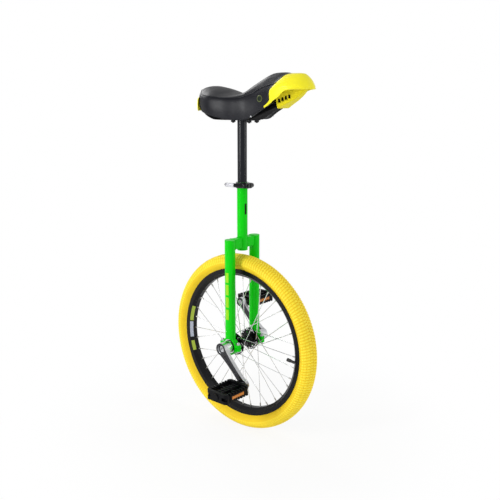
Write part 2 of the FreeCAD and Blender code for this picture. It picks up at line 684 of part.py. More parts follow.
def make_hub():
    """A spool with two drilled flanges and a row of lightening windows in each."""
    body = new_body("hub_body", AXLE)
    sketch = new_sketch(body, "YZ_Plane")
    inner = "(Size.flange_offset - Size.flange_thickness / 2)"
    outer = "(Size.flange_offset + Size.flange_thickness / 2)"
    foot = "Size.barrel_end_radius"
    draw_outline(
        sketch,
        ("-Size.hub_end", "Size.axle_radius"), ("-Size.hub_end", "Size.hub_nose_radius"),
        (f"-{outer}", foot), (f"-{outer}", "Size.flange_radius"), (f"-{inner}", "Size.flange_radius"),
        (f"-{inner}", foot), (f"-{inner} + Size.barrel_taper", "Size.barrel_radius"),
        (f"{inner} - Size.barrel_taper", "Size.barrel_radius"), (inner, foot),
        (inner, "Size.flange_radius"), (outer, "Size.flange_radius"), (outer, foot),
        ("Size.hub_end", "Size.hub_nose_radius"), ("Size.hub_end", "Size.axle_radius"),
    )
    revolve(body, sketch)
    windows = new_sketch(body, "XZ_Plane")
    draw_circle(windows, "Size.window_radius", "Size.window_circle")
    window = pocket(body, windows, "3 * Size.flange_offset", middle=True)
    around_axle(body, [window], "Size.windows")
    count = int(value("Size.spokes_per_side"))
    holes = []
    radius = value("Size.spoke_radius + Size.spoke_hole_clearance")
    for side in SIDES.values():
        for index in range(count):
            flange, _, _ = spoke_ends(side, index)
            middle = V(flange.x, side * value("Size.flange_offset"), flange.z)
            reach = V(0, value("Size.flange_thickness"), 0)
            holes.append(rod(middle - reach, middle + reach, radius))
    keep(cut("hub_cut", body, shape_of("spoke_holes", holes)), "hub_shell")


def make_axle():
    """A round axle whose ends taper to a square for the cranks and are bored for their bolts."""
    bar = cylinder("axle_bar", "Size.axle_radius", "2 * Size.axle_end", "0", "-Size.axle_end",
                   AXLE, V(0, 1, 0))
    tools = []
    for name, side in SIDES.items():
        tools += [taper_waste(name, side)]
        start = "-Size.axle_end" if side == RIGHT else "Size.axle_end - Size.bolt_thread_depth"
        tools.append(cylinder(name + "_axle_thread", "Size.bolt_thread_radius", "Size.bolt_thread_depth",
                              "0", start, AXLE, V(0, 1, 0)))
    return keep(cut("axle_cut", bar, *tools), "axle")


def taper_waste(name, side):
    """What a square taper leaves out of a round bar end: a sleeve around a tapered square."""
    length = "(Size.axle_end - Size.axle_round_end)"
    sleeve = cylinder(name + "_taper_sleeve", "2 * Size.axle_radius", length,
                      "0", "Size.axle_round_end" if side == LEFT else "-Size.axle_end", AXLE, V(0, 1, 0))
    return cut(name + "_taper_waste", sleeve, square_taper(name, side))


def square_taper(name, side):
    """The tapered square of an axle end, as a wedge whose small face is at the axle's tip."""
    wedge = doc.addObject("Part::Wedge", name + "_taper")
    small = "Size.taper_flat / 2"
    length = "(Size.axle_end - Size.axle_round_end)"
    large = f"({small} + {length} * tan(Size.taper_angle * 1 deg))"
    near, far = (large, small) if side == LEFT else (small, large)
    for low, high, half in (("Xmin", "Xmax", near), ("Zmin", "Zmax", near), ("X2min", "X2max", far),
                            ("Z2min", "Z2max", far)):
        wedge.setExpression(low, f"-{half}")
        wedge.setExpression(high, half)
    wedge.setExpression("Ymin", "Size.axle_round_end" if side == LEFT else "-Size.axle_end")
    wedge.setExpression("Ymax", "Size.axle_end" if side == LEFT else "-Size.axle_round_end")
    place(wedge, z=AXLE)
    return wedge


def make_spacers():
    """Rings between the hub and the bearings, and between the bearings and the cranks."""
    rings = []
    bearing = "Size.bearing_width / 2"
    spans = (("Size.hub_end", f"Size.leg_offset - {bearing}"),
             (f"Size.leg_offset + {bearing}", "Size.axle_round_end"))
    for name, side in SIDES.items():
        for low, high in spans:
            rings.append(ring(name + "_spacer", "Size.axle_radius + Size.inner_race", "Size.axle_radius",
                              f"({high}) - ({low})", f"{side} * (({high}) + ({low})) / 2"))
    keep(group("spacers", rings), "axle_spacers")


def valve_cylinder(name, radius, low, high):
    """A round solid along the valve's line, between two radii from the axle."""
    angle = math.radians(value("Size.valve_angle"))
    outward = V(math.cos(angle), 0, -math.sin(angle))
    solid = cylinder(name, radius, f"({high}) - ({low})", axis=outward)
    cosine, sine = "cos(Size.valve_angle * 1 deg)", "sin(Size.valve_angle * 1 deg)"
    place(solid, f"({low}) * {cosine}", "0", f"{AXLE} - ({low}) * {sine}")
    return solid


def make_valve():
    inner = f"{BED} - Size.valve_length"
    outer = "Size.rim_radius - Size.rim_well_drop + Size.tape_thickness - 0.1"
    stem = valve_cylinder("stem", "Size.valve_radius", inner, outer)
    keep(stem, "valve_stem")
    start = f"{inner} - Size.valve_cap_end"
    cap = valve_cylinder("cap_blank", "Size.valve_cap_radius", start, f"{start} + Size.valve_cap_length")
    keep(cut("valve_cap_cut", cap, stem), "valve_cap")


# ---- cranks -------------------------------------------------------------------------------

def crank_turn(side):
    return "Size.crank_angle" if side == RIGHT else "Size.crank_angle + 180"


def make_crank(name, side):
    """A forged arm: a boss on the square taper, a waisted arm with a groove, and an eye."""
    body = new_body(name + "_crank_body", AXLE)
    turn(body, V(0, 1, 0), crank_turn(side))
    outer_face = f"{-side} * Size.crank_outer"
    arm_middle = f"{-side} * (Size.crank_outer - Size.crank_thickness / 2)"
    boss = new_sketch(body, "XZ_Plane", f"{-side} * (Size.crank_outer + Size.crank_inner) / 2")
    draw_circle(boss, "Size.crank_boss_radius")
    pad(body, boss, "Size.crank_outer - Size.crank_inner", middle=True)
    arm = new_sketch(body, "XZ_Plane", arm_middle)
    waist, reach = "Size.crank_waist", "Size.crank_length"
    root, end = "Size.crank_boss_radius * 0.9", "Size.crank_eye_radius * 0.8"
    draw_outline(
        arm,
        ("0", f"-({root})"), ((f"{reach} / 2", f"-{waist}"), (reach, f"-({end})")),
        (reach, end), ((f"{reach} / 2", waist), ("0", root)),
    )
    pad(body, arm, "Size.crank_thickness", middle=True)
    eye = new_sketch(body, "XZ_Plane", arm_middle)
    draw_circle(eye, "Size.crank_eye_radius", reach)
    pad(body, eye, "Size.crank_thickness", middle=True)
    groove = new_sketch(body, "XZ_Plane", outer_face)
    width = "Size.crank_groove_half_width"
    groove_end = f"{reach} - Size.groove_inset * 0.9"
    draw_outline(
        groove,
        (groove_end, f"-{width}"), ((f"{groove_end} + {width}", "0"), (groove_end, width)),
        ("Size.groove_inset", width),
        ((f"Size.groove_inset - {width}", "0"), ("Size.groove_inset", f"-{width}")),
    )
    pocket(body, groove, "2 * Size.crank_groove_depth", middle=True)
    eye_hole = "Size.eye_thread_radius + Size.seat_clearance"
    for x, radius, depth in (("0", "Size.puller_radius", "2 * Size.puller_depth"),
                             (reach, eye_hole, "3 * Size.crank_thickness")):
        hole = new_sketch(body, "XZ_Plane", outer_face)
        draw_circle(hole, radius, x)
        pocket(body, hole, depth, middle=True)
    bar = cylinder(name + "_crank_bar", "Size.axle_radius", "Size.axle_end", "0",
                   "0" if side == LEFT else "-Size.axle_end", AXLE, V(0, 1, 0))
    square = common(name + "_crank_square", bar, square_taper(name + "_crank", side))
    passage = cylinder(name + "_bolt_passage", "Size.bolt_thread_radius + 1", "Size.crank_outer", "0",
                       "0" if side == LEFT else "-Size.crank_outer", AXLE, V(0, 1, 0))
    keep(cut(name + "_crank_cut", body, square, passage), name + "_crank")


def make_crank_bolts():
    """Flanged bolts with a hex socket, at the bottom of each crank's puller thread."""
    bolts = []
    for name, side in SIDES.items():
        seat = "(Size.crank_outer - Size.puller_depth)"
        low = f"{side} * {seat}" if side == LEFT else f"-({seat} + Size.crank_bolt_head)"
        head = cylinder(name + "_bolt_head", "Size.crank_bolt_head_radius", "Size.crank_bolt_head", "0", low,
                        AXLE, V(0, 1, 0))
        shank_low = "Size.axle_end - Size.bolt_thread_depth + 2" if side == LEFT else f"-{seat}"
        shank_length = f"{seat} - Size.axle_end + Size.bolt_thread_depth - 2"
        shank = cylinder(name + "_bolt_shank", "Size.bolt_thread_radius", shank_length, "0", shank_low,
                         AXLE, V(0, 1, 0))
        socket_low = f"{seat} + 1" if side == LEFT else f"-({seat} + Size.crank_bolt_head)"
        socket = hexagon(name + "_bolt_socket", "Size.crank_bolt_socket", "Size.crank_bolt_head - 1", "0",
                       socket_low, AXLE, V(0, 1, 0))
        bolts.append(cut(name + "_crank_bolt", fuse(name + "_bolt", head, shank), socket))
    keep(group("crank_bolt_set", bolts), "crank_bolts")


# ---- pedals -------------------------------------------------------------------------------

CRANK_END_X = "Size.crank_length * cos(Size.crank_angle * 1 deg)"
CRANK_END_Z = "Size.crank_length * sin(Size.crank_angle * 1 deg)"
PEDAL_INNER = "(Size.crank_outer + Size.pedal_gap)"


def pedal_x(side):
    return f"{-side} * {CRANK_END_X}"


def pedal_z(side):
    return f"{AXLE} + {side} * {CRANK_END_Z}"


def pedal_body(name, side):
    """A new body with its origin at the middle of the pedal."""
    body = doc.addObject("PartDesign::Body", name)
    place(body, pedal_x(side), f"{side} * ({PEDAL_INNER} + Size.pedal_length / 2)", pedal_z(side))
    return body


def make_pedal(name, side):
    """A moulded platform: a barrel on the spindle, end walls, toothed plates and open windows."""
    body = pedal_body(name + "_pedal_mould", side)
    half_length, half_width = "Size.pedal_length / 2", "Size.pedal_width / 2"
    plan = new_sketch(body, "XY_Plane")
    draw_outline(plan, *box_outline(f"-{half_width}", half_width, f"-{half_length}", half_length))
    pad(body, plan, "Size.pedal_height", middle=True)
    round_edges(body, lambda edge: along(edge, V(0, 0, 1)), "Size.pedal_corner")
    windows = new_sketch(body, "XY_Plane")
    for x in (-1, 1):
        low, high = "Size.barrel_housing_radius", f"{half_width} - Size.pedal_plate"
        across = (low, high) if x == 1 else (f"-({high})", f"-{low}")
        for y in (-1, 1):
            near, far = "Size.pedal_rib / 2", f"{half_length} - Size.pedal_end_wall"
            span = (near, far) if y == 1 else (f"-({far})", f"-{near}")
            draw_outline(windows, *box_outline(*across, *span))
    pocket(body, windows, "2 * Size.pedal_height", middle=True)
    low, high = f"{half_length} - Size.pedal_end_wall", "Size.pedal_height"
    for top in (-1, 1):
        relief = new_sketch(body, "YZ_Plane")
        floor = "Size.barrel_housing_radius"
        levels = (floor, high) if top == 1 else (f"-{high}", f"-{floor}")
        draw_outline(relief, *box_outline(f"-({low})", low, *levels))
        pocket(body, relief, f"2 * ({half_width} - Size.pedal_plate)", middle=True)
    for top in (-1, 1):
        teeth = new_sketch(body, "YZ_Plane")
        for number in range(int(value("Size.tooth_count"))):
            middle = f"({number} - (Size.tooth_count - 1) / 2) * Size.tooth_pitch"
            root, crest = "Size.pedal_height / 2 - Size.tooth_depth", "Size.pedal_height / 2 + 1"
            levels = (root, crest) if top == 1 else (f"-({crest})", f"-({root})")
            gap = "(Size.tooth_pitch - Size.tooth_width) / 2"
            draw_outline(teeth, *box_outline(f"{middle} - {gap}", f"{middle} + {gap}", *levels))
        pocket(body, teeth, "2 * Size.pedal_width", middle=True)
    for end in (-1, 1):
        notches = new_sketch(body, "XZ_Plane", f"{end} * {half_length}")
        inner, outer = f"{half_width} - Size.notch_reach", f"{half_width} + 1"
        for across in ((f"-({outer})", f"-({inner})"), (inner, outer)):
            draw_outline(notches, *box_outline(*across, "-Size.notch_height / 2", "Size.notch_height / 2"))
        pocket(body, notches, "2 * Size.notch_depth", middle=True)
    bore = new_sketch(body, "XZ_Plane")
    draw_circle(bore, "Size.bush_radius")
    pocket(body, bore, "2 * Size.pedal_length", middle=True)
    blanks = [doc.addObject("Part::Box", name + "_recess") for _ in range(2)]
    for end, blank in zip((-1, 1), blanks):
        depth = "Size.reflector_thickness - Size.reflector_proud"
        blank.setExpression("Length", depth)
        blank.setExpression("Width", "Size.reflector_length + Size.recess_play")
        blank.setExpression("Height", "Size.reflector_height + Size.recess_play")
        place(blank, f"{pedal_x(side)} + {end} * {half_width}" + (f" - ({depth})" if end == 1 else ""),
              f"{side} * ({PEDAL_INNER} + {half_length}) - (Size.reflector_length + Size.recess_play) / 2",
              f"{pedal_z(side)} - (Size.reflector_height + Size.recess_play) / 2")
    keep(cut(name + "_pedal_cut", body, *blanks), name + "_pedal_body")


def make_reflectors(name, side):
    plates = []
    for end in (-1, 1):
        plate = doc.addObject("Part::Box", name + "_reflector")
        plate.setExpression("Length", "Size.reflector_thickness")
        plate.setExpression("Width", "Size.reflector_length")
        plate.setExpression("Height", "Size.reflector_height")
        inset = "Size.pedal_width / 2 - Size.reflector_thickness + Size.reflector_proud"
        x = f"{pedal_x(side)} + {inset}"
        if end == -1:
            x = f"{pedal_x(side)} - ({inset}) - Size.reflector_thickness"
        place(plate, x, f"{side} * ({PEDAL_INNER} + Size.pedal_length / 2) - Size.reflector_length / 2",
              f"{pedal_z(side)} - Size.reflector_height / 2")
        plates.append(plate)
    keep(group(name + "_reflector_pair", plates), name + "_pedal_reflectors")


def make_spindle(name, side):
    """A stepped spindle, screwed into the crank's eye, that ends inside the pedal's cap."""
    body = doc.addObject("PartDesign::Body", name + "_spindle")
    place(body, pedal_x(side), "0", pedal_z(side))
    sketch = new_sketch(body, "YZ_Plane")
    stations = (
        ("Size.crank_outer - Size.crank_thickness", "Size.eye_thread_radius"),
        ("Size.crank_outer", "Size.spindle_flange_radius"),
        ("Size.crank_outer + Size.spindle_flange", "Size.spindle_radius"),
        (f"{PEDAL_INNER} + Size.pedal_length - Size.spindle_short", None),
    )
    corners = [(f"{side} * ({stations[0][0]})", "0")]
    for (y, radius), (next_y, _) in zip(stations, stations[1:]):
        corners += [(f"{side} * ({y})", radius), (f"{side} * ({next_y})", radius)]
    corners.append((f"{side} * ({stations[-1][0]})", "0"))
    draw_outline(sketch, *corners)
    revolve(body, sketch)
    keep(body, name + "_pedal_spindle")


def make_pedal_bushes(name, side):
    bushes = []
    outer_end = f"{PEDAL_INNER} + Size.pedal_length - Size.spindle_short - 1"
    for low in (f"{PEDAL_INNER} + 1", f"{outer_end} - Size.bush_length"):
        body = doc.addObject("PartDesign::Body", name + "_bush")
        place(body, pedal_x(side), "0", pedal_z(side))
        sketch = new_sketch(body, "XZ_Plane", f"{-side} * ({low} + Size.bush_length / 2)")
        draw_circle(sketch, "Size.bush_radius")
        draw_circle(sketch, "Size.spindle_radius + Size.running_clearance")
        pad(body, sketch, "Size.bush_length", middle=True)
        bushes.append(body)
    keep(group(name + "_bush_pair", bushes), name + "_pedal_bushes")


def make_pedal_cap(name, side):
    """A dust cap pressed into the outer end of the pedal."""
    low = f"{PEDAL_INNER} + Size.pedal_length"
    plug_low = f"{low} - Size.cap_plug"

    def y_of(start, length):
        return start if side == LEFT else f"-({start} + {length})"

    disc = cylinder(name + "_cap_disc", "Size.cap_radius", "Size.cap_thickness", pedal_x(side),
                    y_of(low, "Size.cap_thickness"), pedal_z(side), V(0, 1, 0))
    plug = cylinder(name + "_cap_plug", "Size.bush_radius", "Size.cap_plug", pedal_x(side),
                    y_of(plug_low, "Size.cap_plug"), pedal_z(side), V(0, 1, 0))
    keep(fuse(name + "_cap", disc, plug), name + "_pedal_cap")


# ---- seat post and saddle -----------------------------------------------------------------

def make_seat_post():
    body = new_body("post")
    sketch = new_sketch(body, "XY_Plane", POST_BOTTOM)
    draw_circle(sketch, "Size.post_radius")
    draw_circle(sketch, "Size.post_radius - Size.post_wall")
    pad(body, sketch, f"{POST_TOP} - {POST_BOTTOM}")
    keep(body, "seat_post")


def make_post_head():
    """A plate welded to the top of the post, drilled for the four saddle bolts."""
    body = new_body("post_head", POST_TOP)
    sketch = new_sketch(body, "XY_Plane")
    half = "Size.plate_half_width"
    draw_outline(sketch, *box_outline("-Size.plate_back", "Size.plate_front", f"-{half}", half))
    for x, y in saddle_bolt_places():
        draw_circle(sketch, "Size.saddle_bolt_radius + Size.lug_hole_clearance", x, y)
    pad(body, sketch, "Size.plate_thickness")
    round_edges(body, lambda edge: along(edge, V(0, 0, 1)), "Size.plate_corner")
    keep(body, "seat_post_head")


def saddle_bolt_places():
    """The four corners where the saddle is bolted to the post's plate."""
    along_x, across_y = "Size.saddle_bolt_half_length", "Size.saddle_bolt_half_width"
    return [(f"Size.saddle_bolt_middle + {x} * {along_x}", f"{y} * {across_y}")
            for x in (-1, 1) for y in (-1, 1)]


def make_saddle_bolts():
    """Studs moulded into the saddle base, with a nut under the plate on each."""
    studs, nuts = [], []
    plate = "Size.plate_thickness"
    for x, y in saddle_bolt_places():
        low = f"{POST_TOP} - Size.saddle_nut_height - Size.bolt_tail"
        studs.append(cylinder("stud", "Size.saddle_bolt_radius",
                              f"Size.saddle_nut_height + Size.bolt_tail + {plate}", x, y, low))
        nut = hexagon("nut_blank", "Size.saddle_nut_radius", "Size.saddle_nut_height", x, y,
                    f"{POST_TOP} - Size.saddle_nut_height")
        hole = cylinder("nut_hole", "Size.saddle_bolt_radius", "Size.saddle_nut_height", x, y,
                        f"{POST_TOP} - Size.saddle_nut_height")
        nuts.append(cut("saddle_nut", nut, hole))
    keep(group("stud_set", studs), "saddle_studs")
    keep(group("nut_set", nuts), "saddle_nuts")


def saddle_plan(name, grow):
    """The saddle's outline seen from above, grown by a margin, as a tall prism."""
    body = new_body(name, f"{POST_TOP} - Size.plan_drop")
    sketch = new_sketch(body, "XY_Plane")
    wide = f"(Size.saddle_half_width + ({grow}))"
    waist = f"(Size.waist_half_width + ({grow}))"
    front = f"(Size.front_half_width + ({grow}))"
    back = f"(-Size.saddle_back - ({grow}))"
    nose = f"(Size.saddle_front + ({grow}))"
    draw_outline(
        sketch,
        ((f"{back} * 0.86", f"{wide} * 0.66"), (f"{back} * 0.42", wide)),
        ((f"{back} * 0.08", f"{wide} * 0.9"), ("Size.saddle_front * 0.1", f"{wide} * 0.74")),
        (("Size.saddle_front * 0.24", f"{waist} * 1.07"), ("Size.saddle_front * 0.42", waist)),
        (("Size.saddle_front * 0.62", f"{front} * 0.98"), ("Size.saddle_front * 0.8", front)),
        ((f"{nose} * 0.95", f"{front} * 0.66"), (nose, "0")),
        ((f"{nose} * 0.95", f"-{front} * 0.66"), ("Size.saddle_front * 0.8", f"-{front}")),
        (("Size.saddle_front * 0.62", f"-{front} * 0.98"), ("Size.saddle_front * 0.42", f"-{waist}")),
        (("Size.saddle_front * 0.24", f"-{waist} * 1.07"), ("Size.saddle_front * 0.1", f"-{wide} * 0.74")),
        ((f"{back} * 0.08", f"-{wide} * 0.9"), (f"{back} * 0.42", f"-{wide}")),
        ((f"{back} * 0.86", f"-{wide} * 0.66"), (back, "0")),
    )
    pad(body, sketch, "Size.plan_height")
    return body


def side_profile(name, *steps, half_width="2 * Size.saddle_half_width"):
    """A slab across the saddle, from an outline seen from the side, in x and height over the post."""
    body = new_body(name, POST_TOP)
    sketch = new_sketch(body, "XZ_Plane")
    draw_outline(sketch, *steps)
    pad(body, sketch, f"2 * ({half_width})", middle=True)
    return body


def bow(start, finish, rise):
    """An arc to finish whose middle lies rise above the middle of the straight line from start."""
    middle_x, middle_z = (f"(({a}) + ({b})) / 2" for a, b in zip(start, finish))
    return (middle_x, f"{middle_z} + {rise}"), finish


def tray_line(lift):
    """The underside of the base, seen from the side and lifted, from its back to its front end."""
    back = ("-Size.base_back", f"Size.base_back_height + {lift}")
    flat_back = ("Size.base_flat_back", f"Size.plate_thickness + {lift}")
    flat_front = ("Size.base_flat_front", f"Size.plate_thickness + {lift}")
    front = ("Size.base_front", f"Size.base_front_height + {lift}")
    return back, flat_back, flat_front, front


def tray_slab(name, lift, thickness):
    """The base's side outline, lifted clear of the post's plate and of one thickness."""
    back, flat_back, flat_front, front = tray_line(lift)
    top_back, top_flat_back, top_flat_front, top_front = tray_line(f"{lift} + {thickness}")
    return side_profile(
        name,
        back, bow(back, flat_back, "-Size.back_bow"), flat_front, bow(flat_front, front, "-Size.front_bow"),
        top_front, bow(top_front, top_flat_front, "-Size.front_bow"), top_flat_back,
        bow(top_flat_back, top_back, "-Size.back_bow"),
    )


def make_base():
    """A moulded tray under the cushion that climbs to the nose."""
    tray = tray_slab("base_slab", "0", "Size.base_thickness")
    keep(common("base", tray, saddle_plan("base_plan", "-Size.skirt")), "saddle_base")


def base_pocket():
    """The space that the base takes in the cushion's underside."""
    depth = "(Size.edge_tail_height + Size.base_thickness)"
    space = tray_slab("base_space", f"-{depth}", f"{depth} + Size.base_thickness + Size.base_clearance")
    return common("base_pocket", space, saddle_plan("recess_plan", "Size.base_clearance - Size.skirt"))


def nose_joint(gap):
    """The joint between cushion and front bumper, from its foot up to the crown."""
    foot = (f"Size.joint_foot_x + {gap}", "Size.joint_foot_height")
    top = (f"Size.joint_top_x + {gap}", "Size.joint_top_height")
    return foot, bow(foot, top, "-Size.joint_bow")


def make_cushion(rear_bumper):
    """The padded cushion: a raised tail, a dip to sit in and a crown that climbs to the nose."""
    tail = ("-Size.saddle_back - 4 * Size.skirt", "Size.tail_height")
    hump, dip = ("Size.hump_x", "Size.hump_height"), ("Size.dip_x", "Size.dip_height")
    crown, joint_top = ("Size.crown_x", "Size.crown_height"), ("Size.joint_top_x", "Size.joint_top_height")
    edge_tail = (tail[0], "Size.edge_tail_height")
    edge_back = ("Size.edge_flat_back", "Size.plate_thickness")
    edge_front = ("Size.edge_flat_front", "Size.plate_thickness")
    foot = ("Size.joint_foot_x - Size.joint_lap", "Size.joint_foot_low")
    slab = side_profile(
        "cushion_slab",
        edge_tail, bow(edge_tail, edge_back, "-Size.back_bow"), edge_front,
        bow(edge_front, foot, "-Size.front_bow"),
        *nose_joint("0"), bow(joint_top, crown, "Size.crown_bow"), bow(crown, dip, "-Size.climb_bow"),
        bow(dip, hump, "-Size.dip_bow"), bow(hump, tail, "Size.tail_bow"),
    )
    hollowed = cut("cushion_hollowed", slab, base_pocket(), rear_bumper)
    keep(common("cushion", hollowed, saddle_plan("cushion_plan", "0")), "saddle_cushion")


def make_rear_bumper():
    """A band round the back of the cushion."""
    back = "-Size.saddle_back - 4 * Size.skirt"
    band = side_profile("rear_band", *box_outline(back, "Size.tail_band_front",
                                                  "Size.tail_band_low", "Size.tail_band_high"))
    outer = common("rear_outer", band, saddle_plan("rear_plan", "Size.bumper_proud"))
    core = saddle_plan("rear_core", "Size.bumper_proud - Size.bumper_wall")
    return keep(cut("rear_bumper_cut", outer, core), "rear_bumper")


def nose_skin():
    """The outside of the nose cap, with a lip along its lower edge to hold the saddle by."""
    foot, climb = nose_joint("Size.bumper_gap")
    top = ("Size.nose_top_x", "Size.nose_top_height")
    lip = ("Size.saddle_front", "Size.lip_height")
    slab = side_profile(
        "nose_outer",
        ("Size.joint_foot_x - Size.nose_lap", "Size.joint_foot_low"), foot, climb,
        bow(climb[1], top, "Size.nose_bow"), bow(top, lip, "Size.tip_bow"),
        ("Size.lip_back_x", "Size.lip_back_height"),
        ("Size.lip_foot_x", "Size.lip_foot_height"),
    )
    return common("nose_skin", slab, saddle_plan("nose_plan", "Size.bumper_proud"))


def nose_space():
    """The space under the nose cap's skin, open below and towards the cushion."""
    wall = "Size.bumper_wall"
    back = "Size.joint_foot_x - Size.space_back"
    foot = ("Size.joint_foot_x + Size.bumper_wall", f"Size.joint_foot_height - {wall}")
    top_back = ("Size.joint_top_x + Size.space_lead", f"Size.joint_top_height - Size.space_drop - {wall}")
    top_front = (f"Size.nose_top_x - {wall}", f"Size.nose_top_height - Size.space_drop - {wall}")
    slab = side_profile(
        "nose_space",
        (back, "0"), (back, f"Size.joint_foot_height - {wall}"), foot, bow(foot, top_back, "-Size.tip_bow"),
        bow(top_back, top_front, "Size.space_bow"), (f"Size.saddle_front - Size.tip_bow - {wall}", "0"),
    )
    return common("nose_hollow", slab, saddle_plan("nose_inside", "Size.bumper_proud - Size.bumper_wall"))


def make_keel():
    """The ribbed web under the nose cap, from the base's front end up to the tip."""
    start, top = "Size.base_front + Size.keel_gap", "(Size.nose_top_height - Size.keel_sunk)"
    keel = side_profile(
        "nose_keel",
        (start, "Size.base_front_height"),
        ("Size.keel_tip_x - Size.keel_chin", "Size.lip_height - Size.keel_chin"),
        ("Size.keel_tip_x", "Size.lip_height"),
        ("Size.keel_tip_x - Size.keel_slope / 5", f"{top} - Size.keel_slope / 5"),
        ("Size.keel_tip_x - Size.keel_slope", top),
        ("Size.base_front + Size.keel_heel", "Size.lip_height + Size.keel_heel / 2"),
        (start, "Size.base_front_height + Size.keel_back"), half_width="Size.keel_half_width",
    )
    slots = []
    for number in range(int(value("Size.keel_slots"))):
        low_x = f"Size.base_front + Size.keel_slot_start + {number} * Size.keel_slot_pitch"
        low_z = f"{POST_TOP} + Size.keel_slot_low + {number} * Size.keel_slot_climb"
        across = ("-Size.keel_half_width - 1", "Size.keel_half_width + 1")
        slots.append(block("keel_slot", (low_x, f"{low_x} + Size.keel_slot_width"), across,
                           (low_z, f"{low_z} + Size.keel_slot_height")))
    return cut("keel_cut", keel, *slots)


def make_front_bumper():
    """A hollow nose cap with a lip to hold the saddle by, and a ribbed keel that meets the base."""
    shell = cut("nose_shell", nose_skin(), nose_space())
    keep(fuse("nose", shell, make_keel()), "front_bumper")


def build():
    make_seat_tube()
    make_collar()
    make_skewer()
    make_lever()
    for name, side in SIDES.items():
        make_leg(name, side)
        make_crown_bar(name, side)
        make_bearing_clamp(name, side, 1)
        make_bearing_clamp(name, side, -1)
        make_crank(name, side)
        make_spindle(name, side)
        make_pedal(name, side)
        make_reflectors(name, side)
        make_pedal_bushes(name, side)
        make_pedal_cap(name, side)
    make_cap_bolts()
    make_bearings()
    make_spacers()
    make_axle()
    make_hub()
    make_spokes()
    make_tyre()
    make_inner_tube()
    make_rim_tape()
    make_rim()
    make_valve()
    make_crank_bolts()
    make_seat_post()
    make_post_head()
    make_saddle_bolts()
    make_base()
    make_cushion(make_rear_bumper())
    make_front_bumper()


def check_and_export():
    doc.recompute()
    for item in doc.Objects:
        if "Invalid" in item.State or "Error" in item.State:
            raise RuntimeError(f"{item.Label} failed: {item.State}")
    os.makedirs("parts", exist_ok=True)
    for item in nodes:
        shape = item.Shape
        if shape.isNull() or not shape.isValid() or not shape.Solids:
            raise RuntimeError(f"{item.Label} has no sound shape")
        shape.exportStep(f"parts/{item.Label}.step")
        print(f"{item.Label}: {len(shape.Solids)} solids, {shape.Volume:.0f} mm3")


build()
check_and_export()
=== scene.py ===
"""A twenty-inch unicycle, dressed around its packed construction model."""

import logging
import math
from dataclasses import dataclass
from enum import Enum
from typing import Any, Callable, Mapping, Sequence, Union

import bmesh
import bpy
from bpy.types import Material, Mesh, Node, NodeSocket, NodeTree, Object
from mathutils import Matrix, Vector
from mathutils.bvhtree import BVHTree
from mathutils.kdtree import KDTree


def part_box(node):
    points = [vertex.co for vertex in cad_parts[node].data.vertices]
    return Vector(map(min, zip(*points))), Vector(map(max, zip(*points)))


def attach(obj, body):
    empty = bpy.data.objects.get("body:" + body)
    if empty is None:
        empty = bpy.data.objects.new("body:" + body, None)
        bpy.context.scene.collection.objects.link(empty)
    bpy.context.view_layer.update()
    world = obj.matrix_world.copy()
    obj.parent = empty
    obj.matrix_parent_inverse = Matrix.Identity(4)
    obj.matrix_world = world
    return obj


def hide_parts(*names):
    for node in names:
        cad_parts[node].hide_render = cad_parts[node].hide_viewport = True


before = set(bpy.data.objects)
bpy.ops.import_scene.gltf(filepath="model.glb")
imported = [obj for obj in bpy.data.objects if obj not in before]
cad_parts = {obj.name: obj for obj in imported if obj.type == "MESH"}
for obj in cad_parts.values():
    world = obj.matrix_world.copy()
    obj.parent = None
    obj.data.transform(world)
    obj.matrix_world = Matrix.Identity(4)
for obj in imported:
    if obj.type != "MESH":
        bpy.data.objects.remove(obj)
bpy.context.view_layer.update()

LOG = logging.getLogger("unicycle")
MM = 0.001
CLOTH_FRAMES = 20
SIDES = (("right", -1), ("left", 1))
Colour = tuple[float, float, float]
Point = tuple[float, float, float]
Pair = tuple[float, float]
Faces = list[tuple[int, ...]]
Rows = Sequence[Sequence[Vector]]


# ---- node building ------------------------------------------------------------------------

def operator(operation: str, reflected: bool = False) -> Callable[..., "Value"]:
    """A method of Value that adds a Math node.

    Args:
        operation: The Math node's operation.
        reflected: Whether the value is the second operand.

    Returns:
        The method.
    """
    def method(value: "Value", *others: "Plug") -> "Value":
        """Add the node.

        Args:
            value: The value that the method belongs to.
            others: The other operands.

        Returns:
            The node's result.
        """
        operands = (*others, value) if reflected else (value, *others)
        node = value.bench.node("ShaderNodeMath", {"operation": operation}, dict(enumerate(operands)))
        return Value(value.bench, node.outputs[0])

    return method


class Value:
    """A socket that takes part in arithmetic, each operation adding its Math node."""

    def __init__(self, bench: "Bench", socket: NodeSocket) -> None:
        """Wrap a socket of one node tree."""
        self.bench = bench
        self.socket = socket

    __add__ = operator("ADD")
    __radd__ = operator("ADD", reflected=True)
    __sub__ = operator("SUBTRACT")
    __rsub__ = operator("SUBTRACT", reflected=True)
    __mul__ = operator("MULTIPLY")
    __abs__ = operator("ABSOLUTE")

    def ramp(self, low: float, high: float) -> "Value":
        """A smooth step of this value.

        Args:
            low: Where it starts to rise from 0.
            high: Where it reaches 1.

        Returns:
            The step.
        """
        settings = {"interpolation_type": "SMOOTHSTEP"}
        inputs = {"Value": self, "From Min": low, "From Max": high}
        return Value(self.bench, self.bench.node("ShaderNodeMapRange", settings, inputs).outputs[0])


Plug = Union[Value, NodeSocket, float, Sequence[float]]


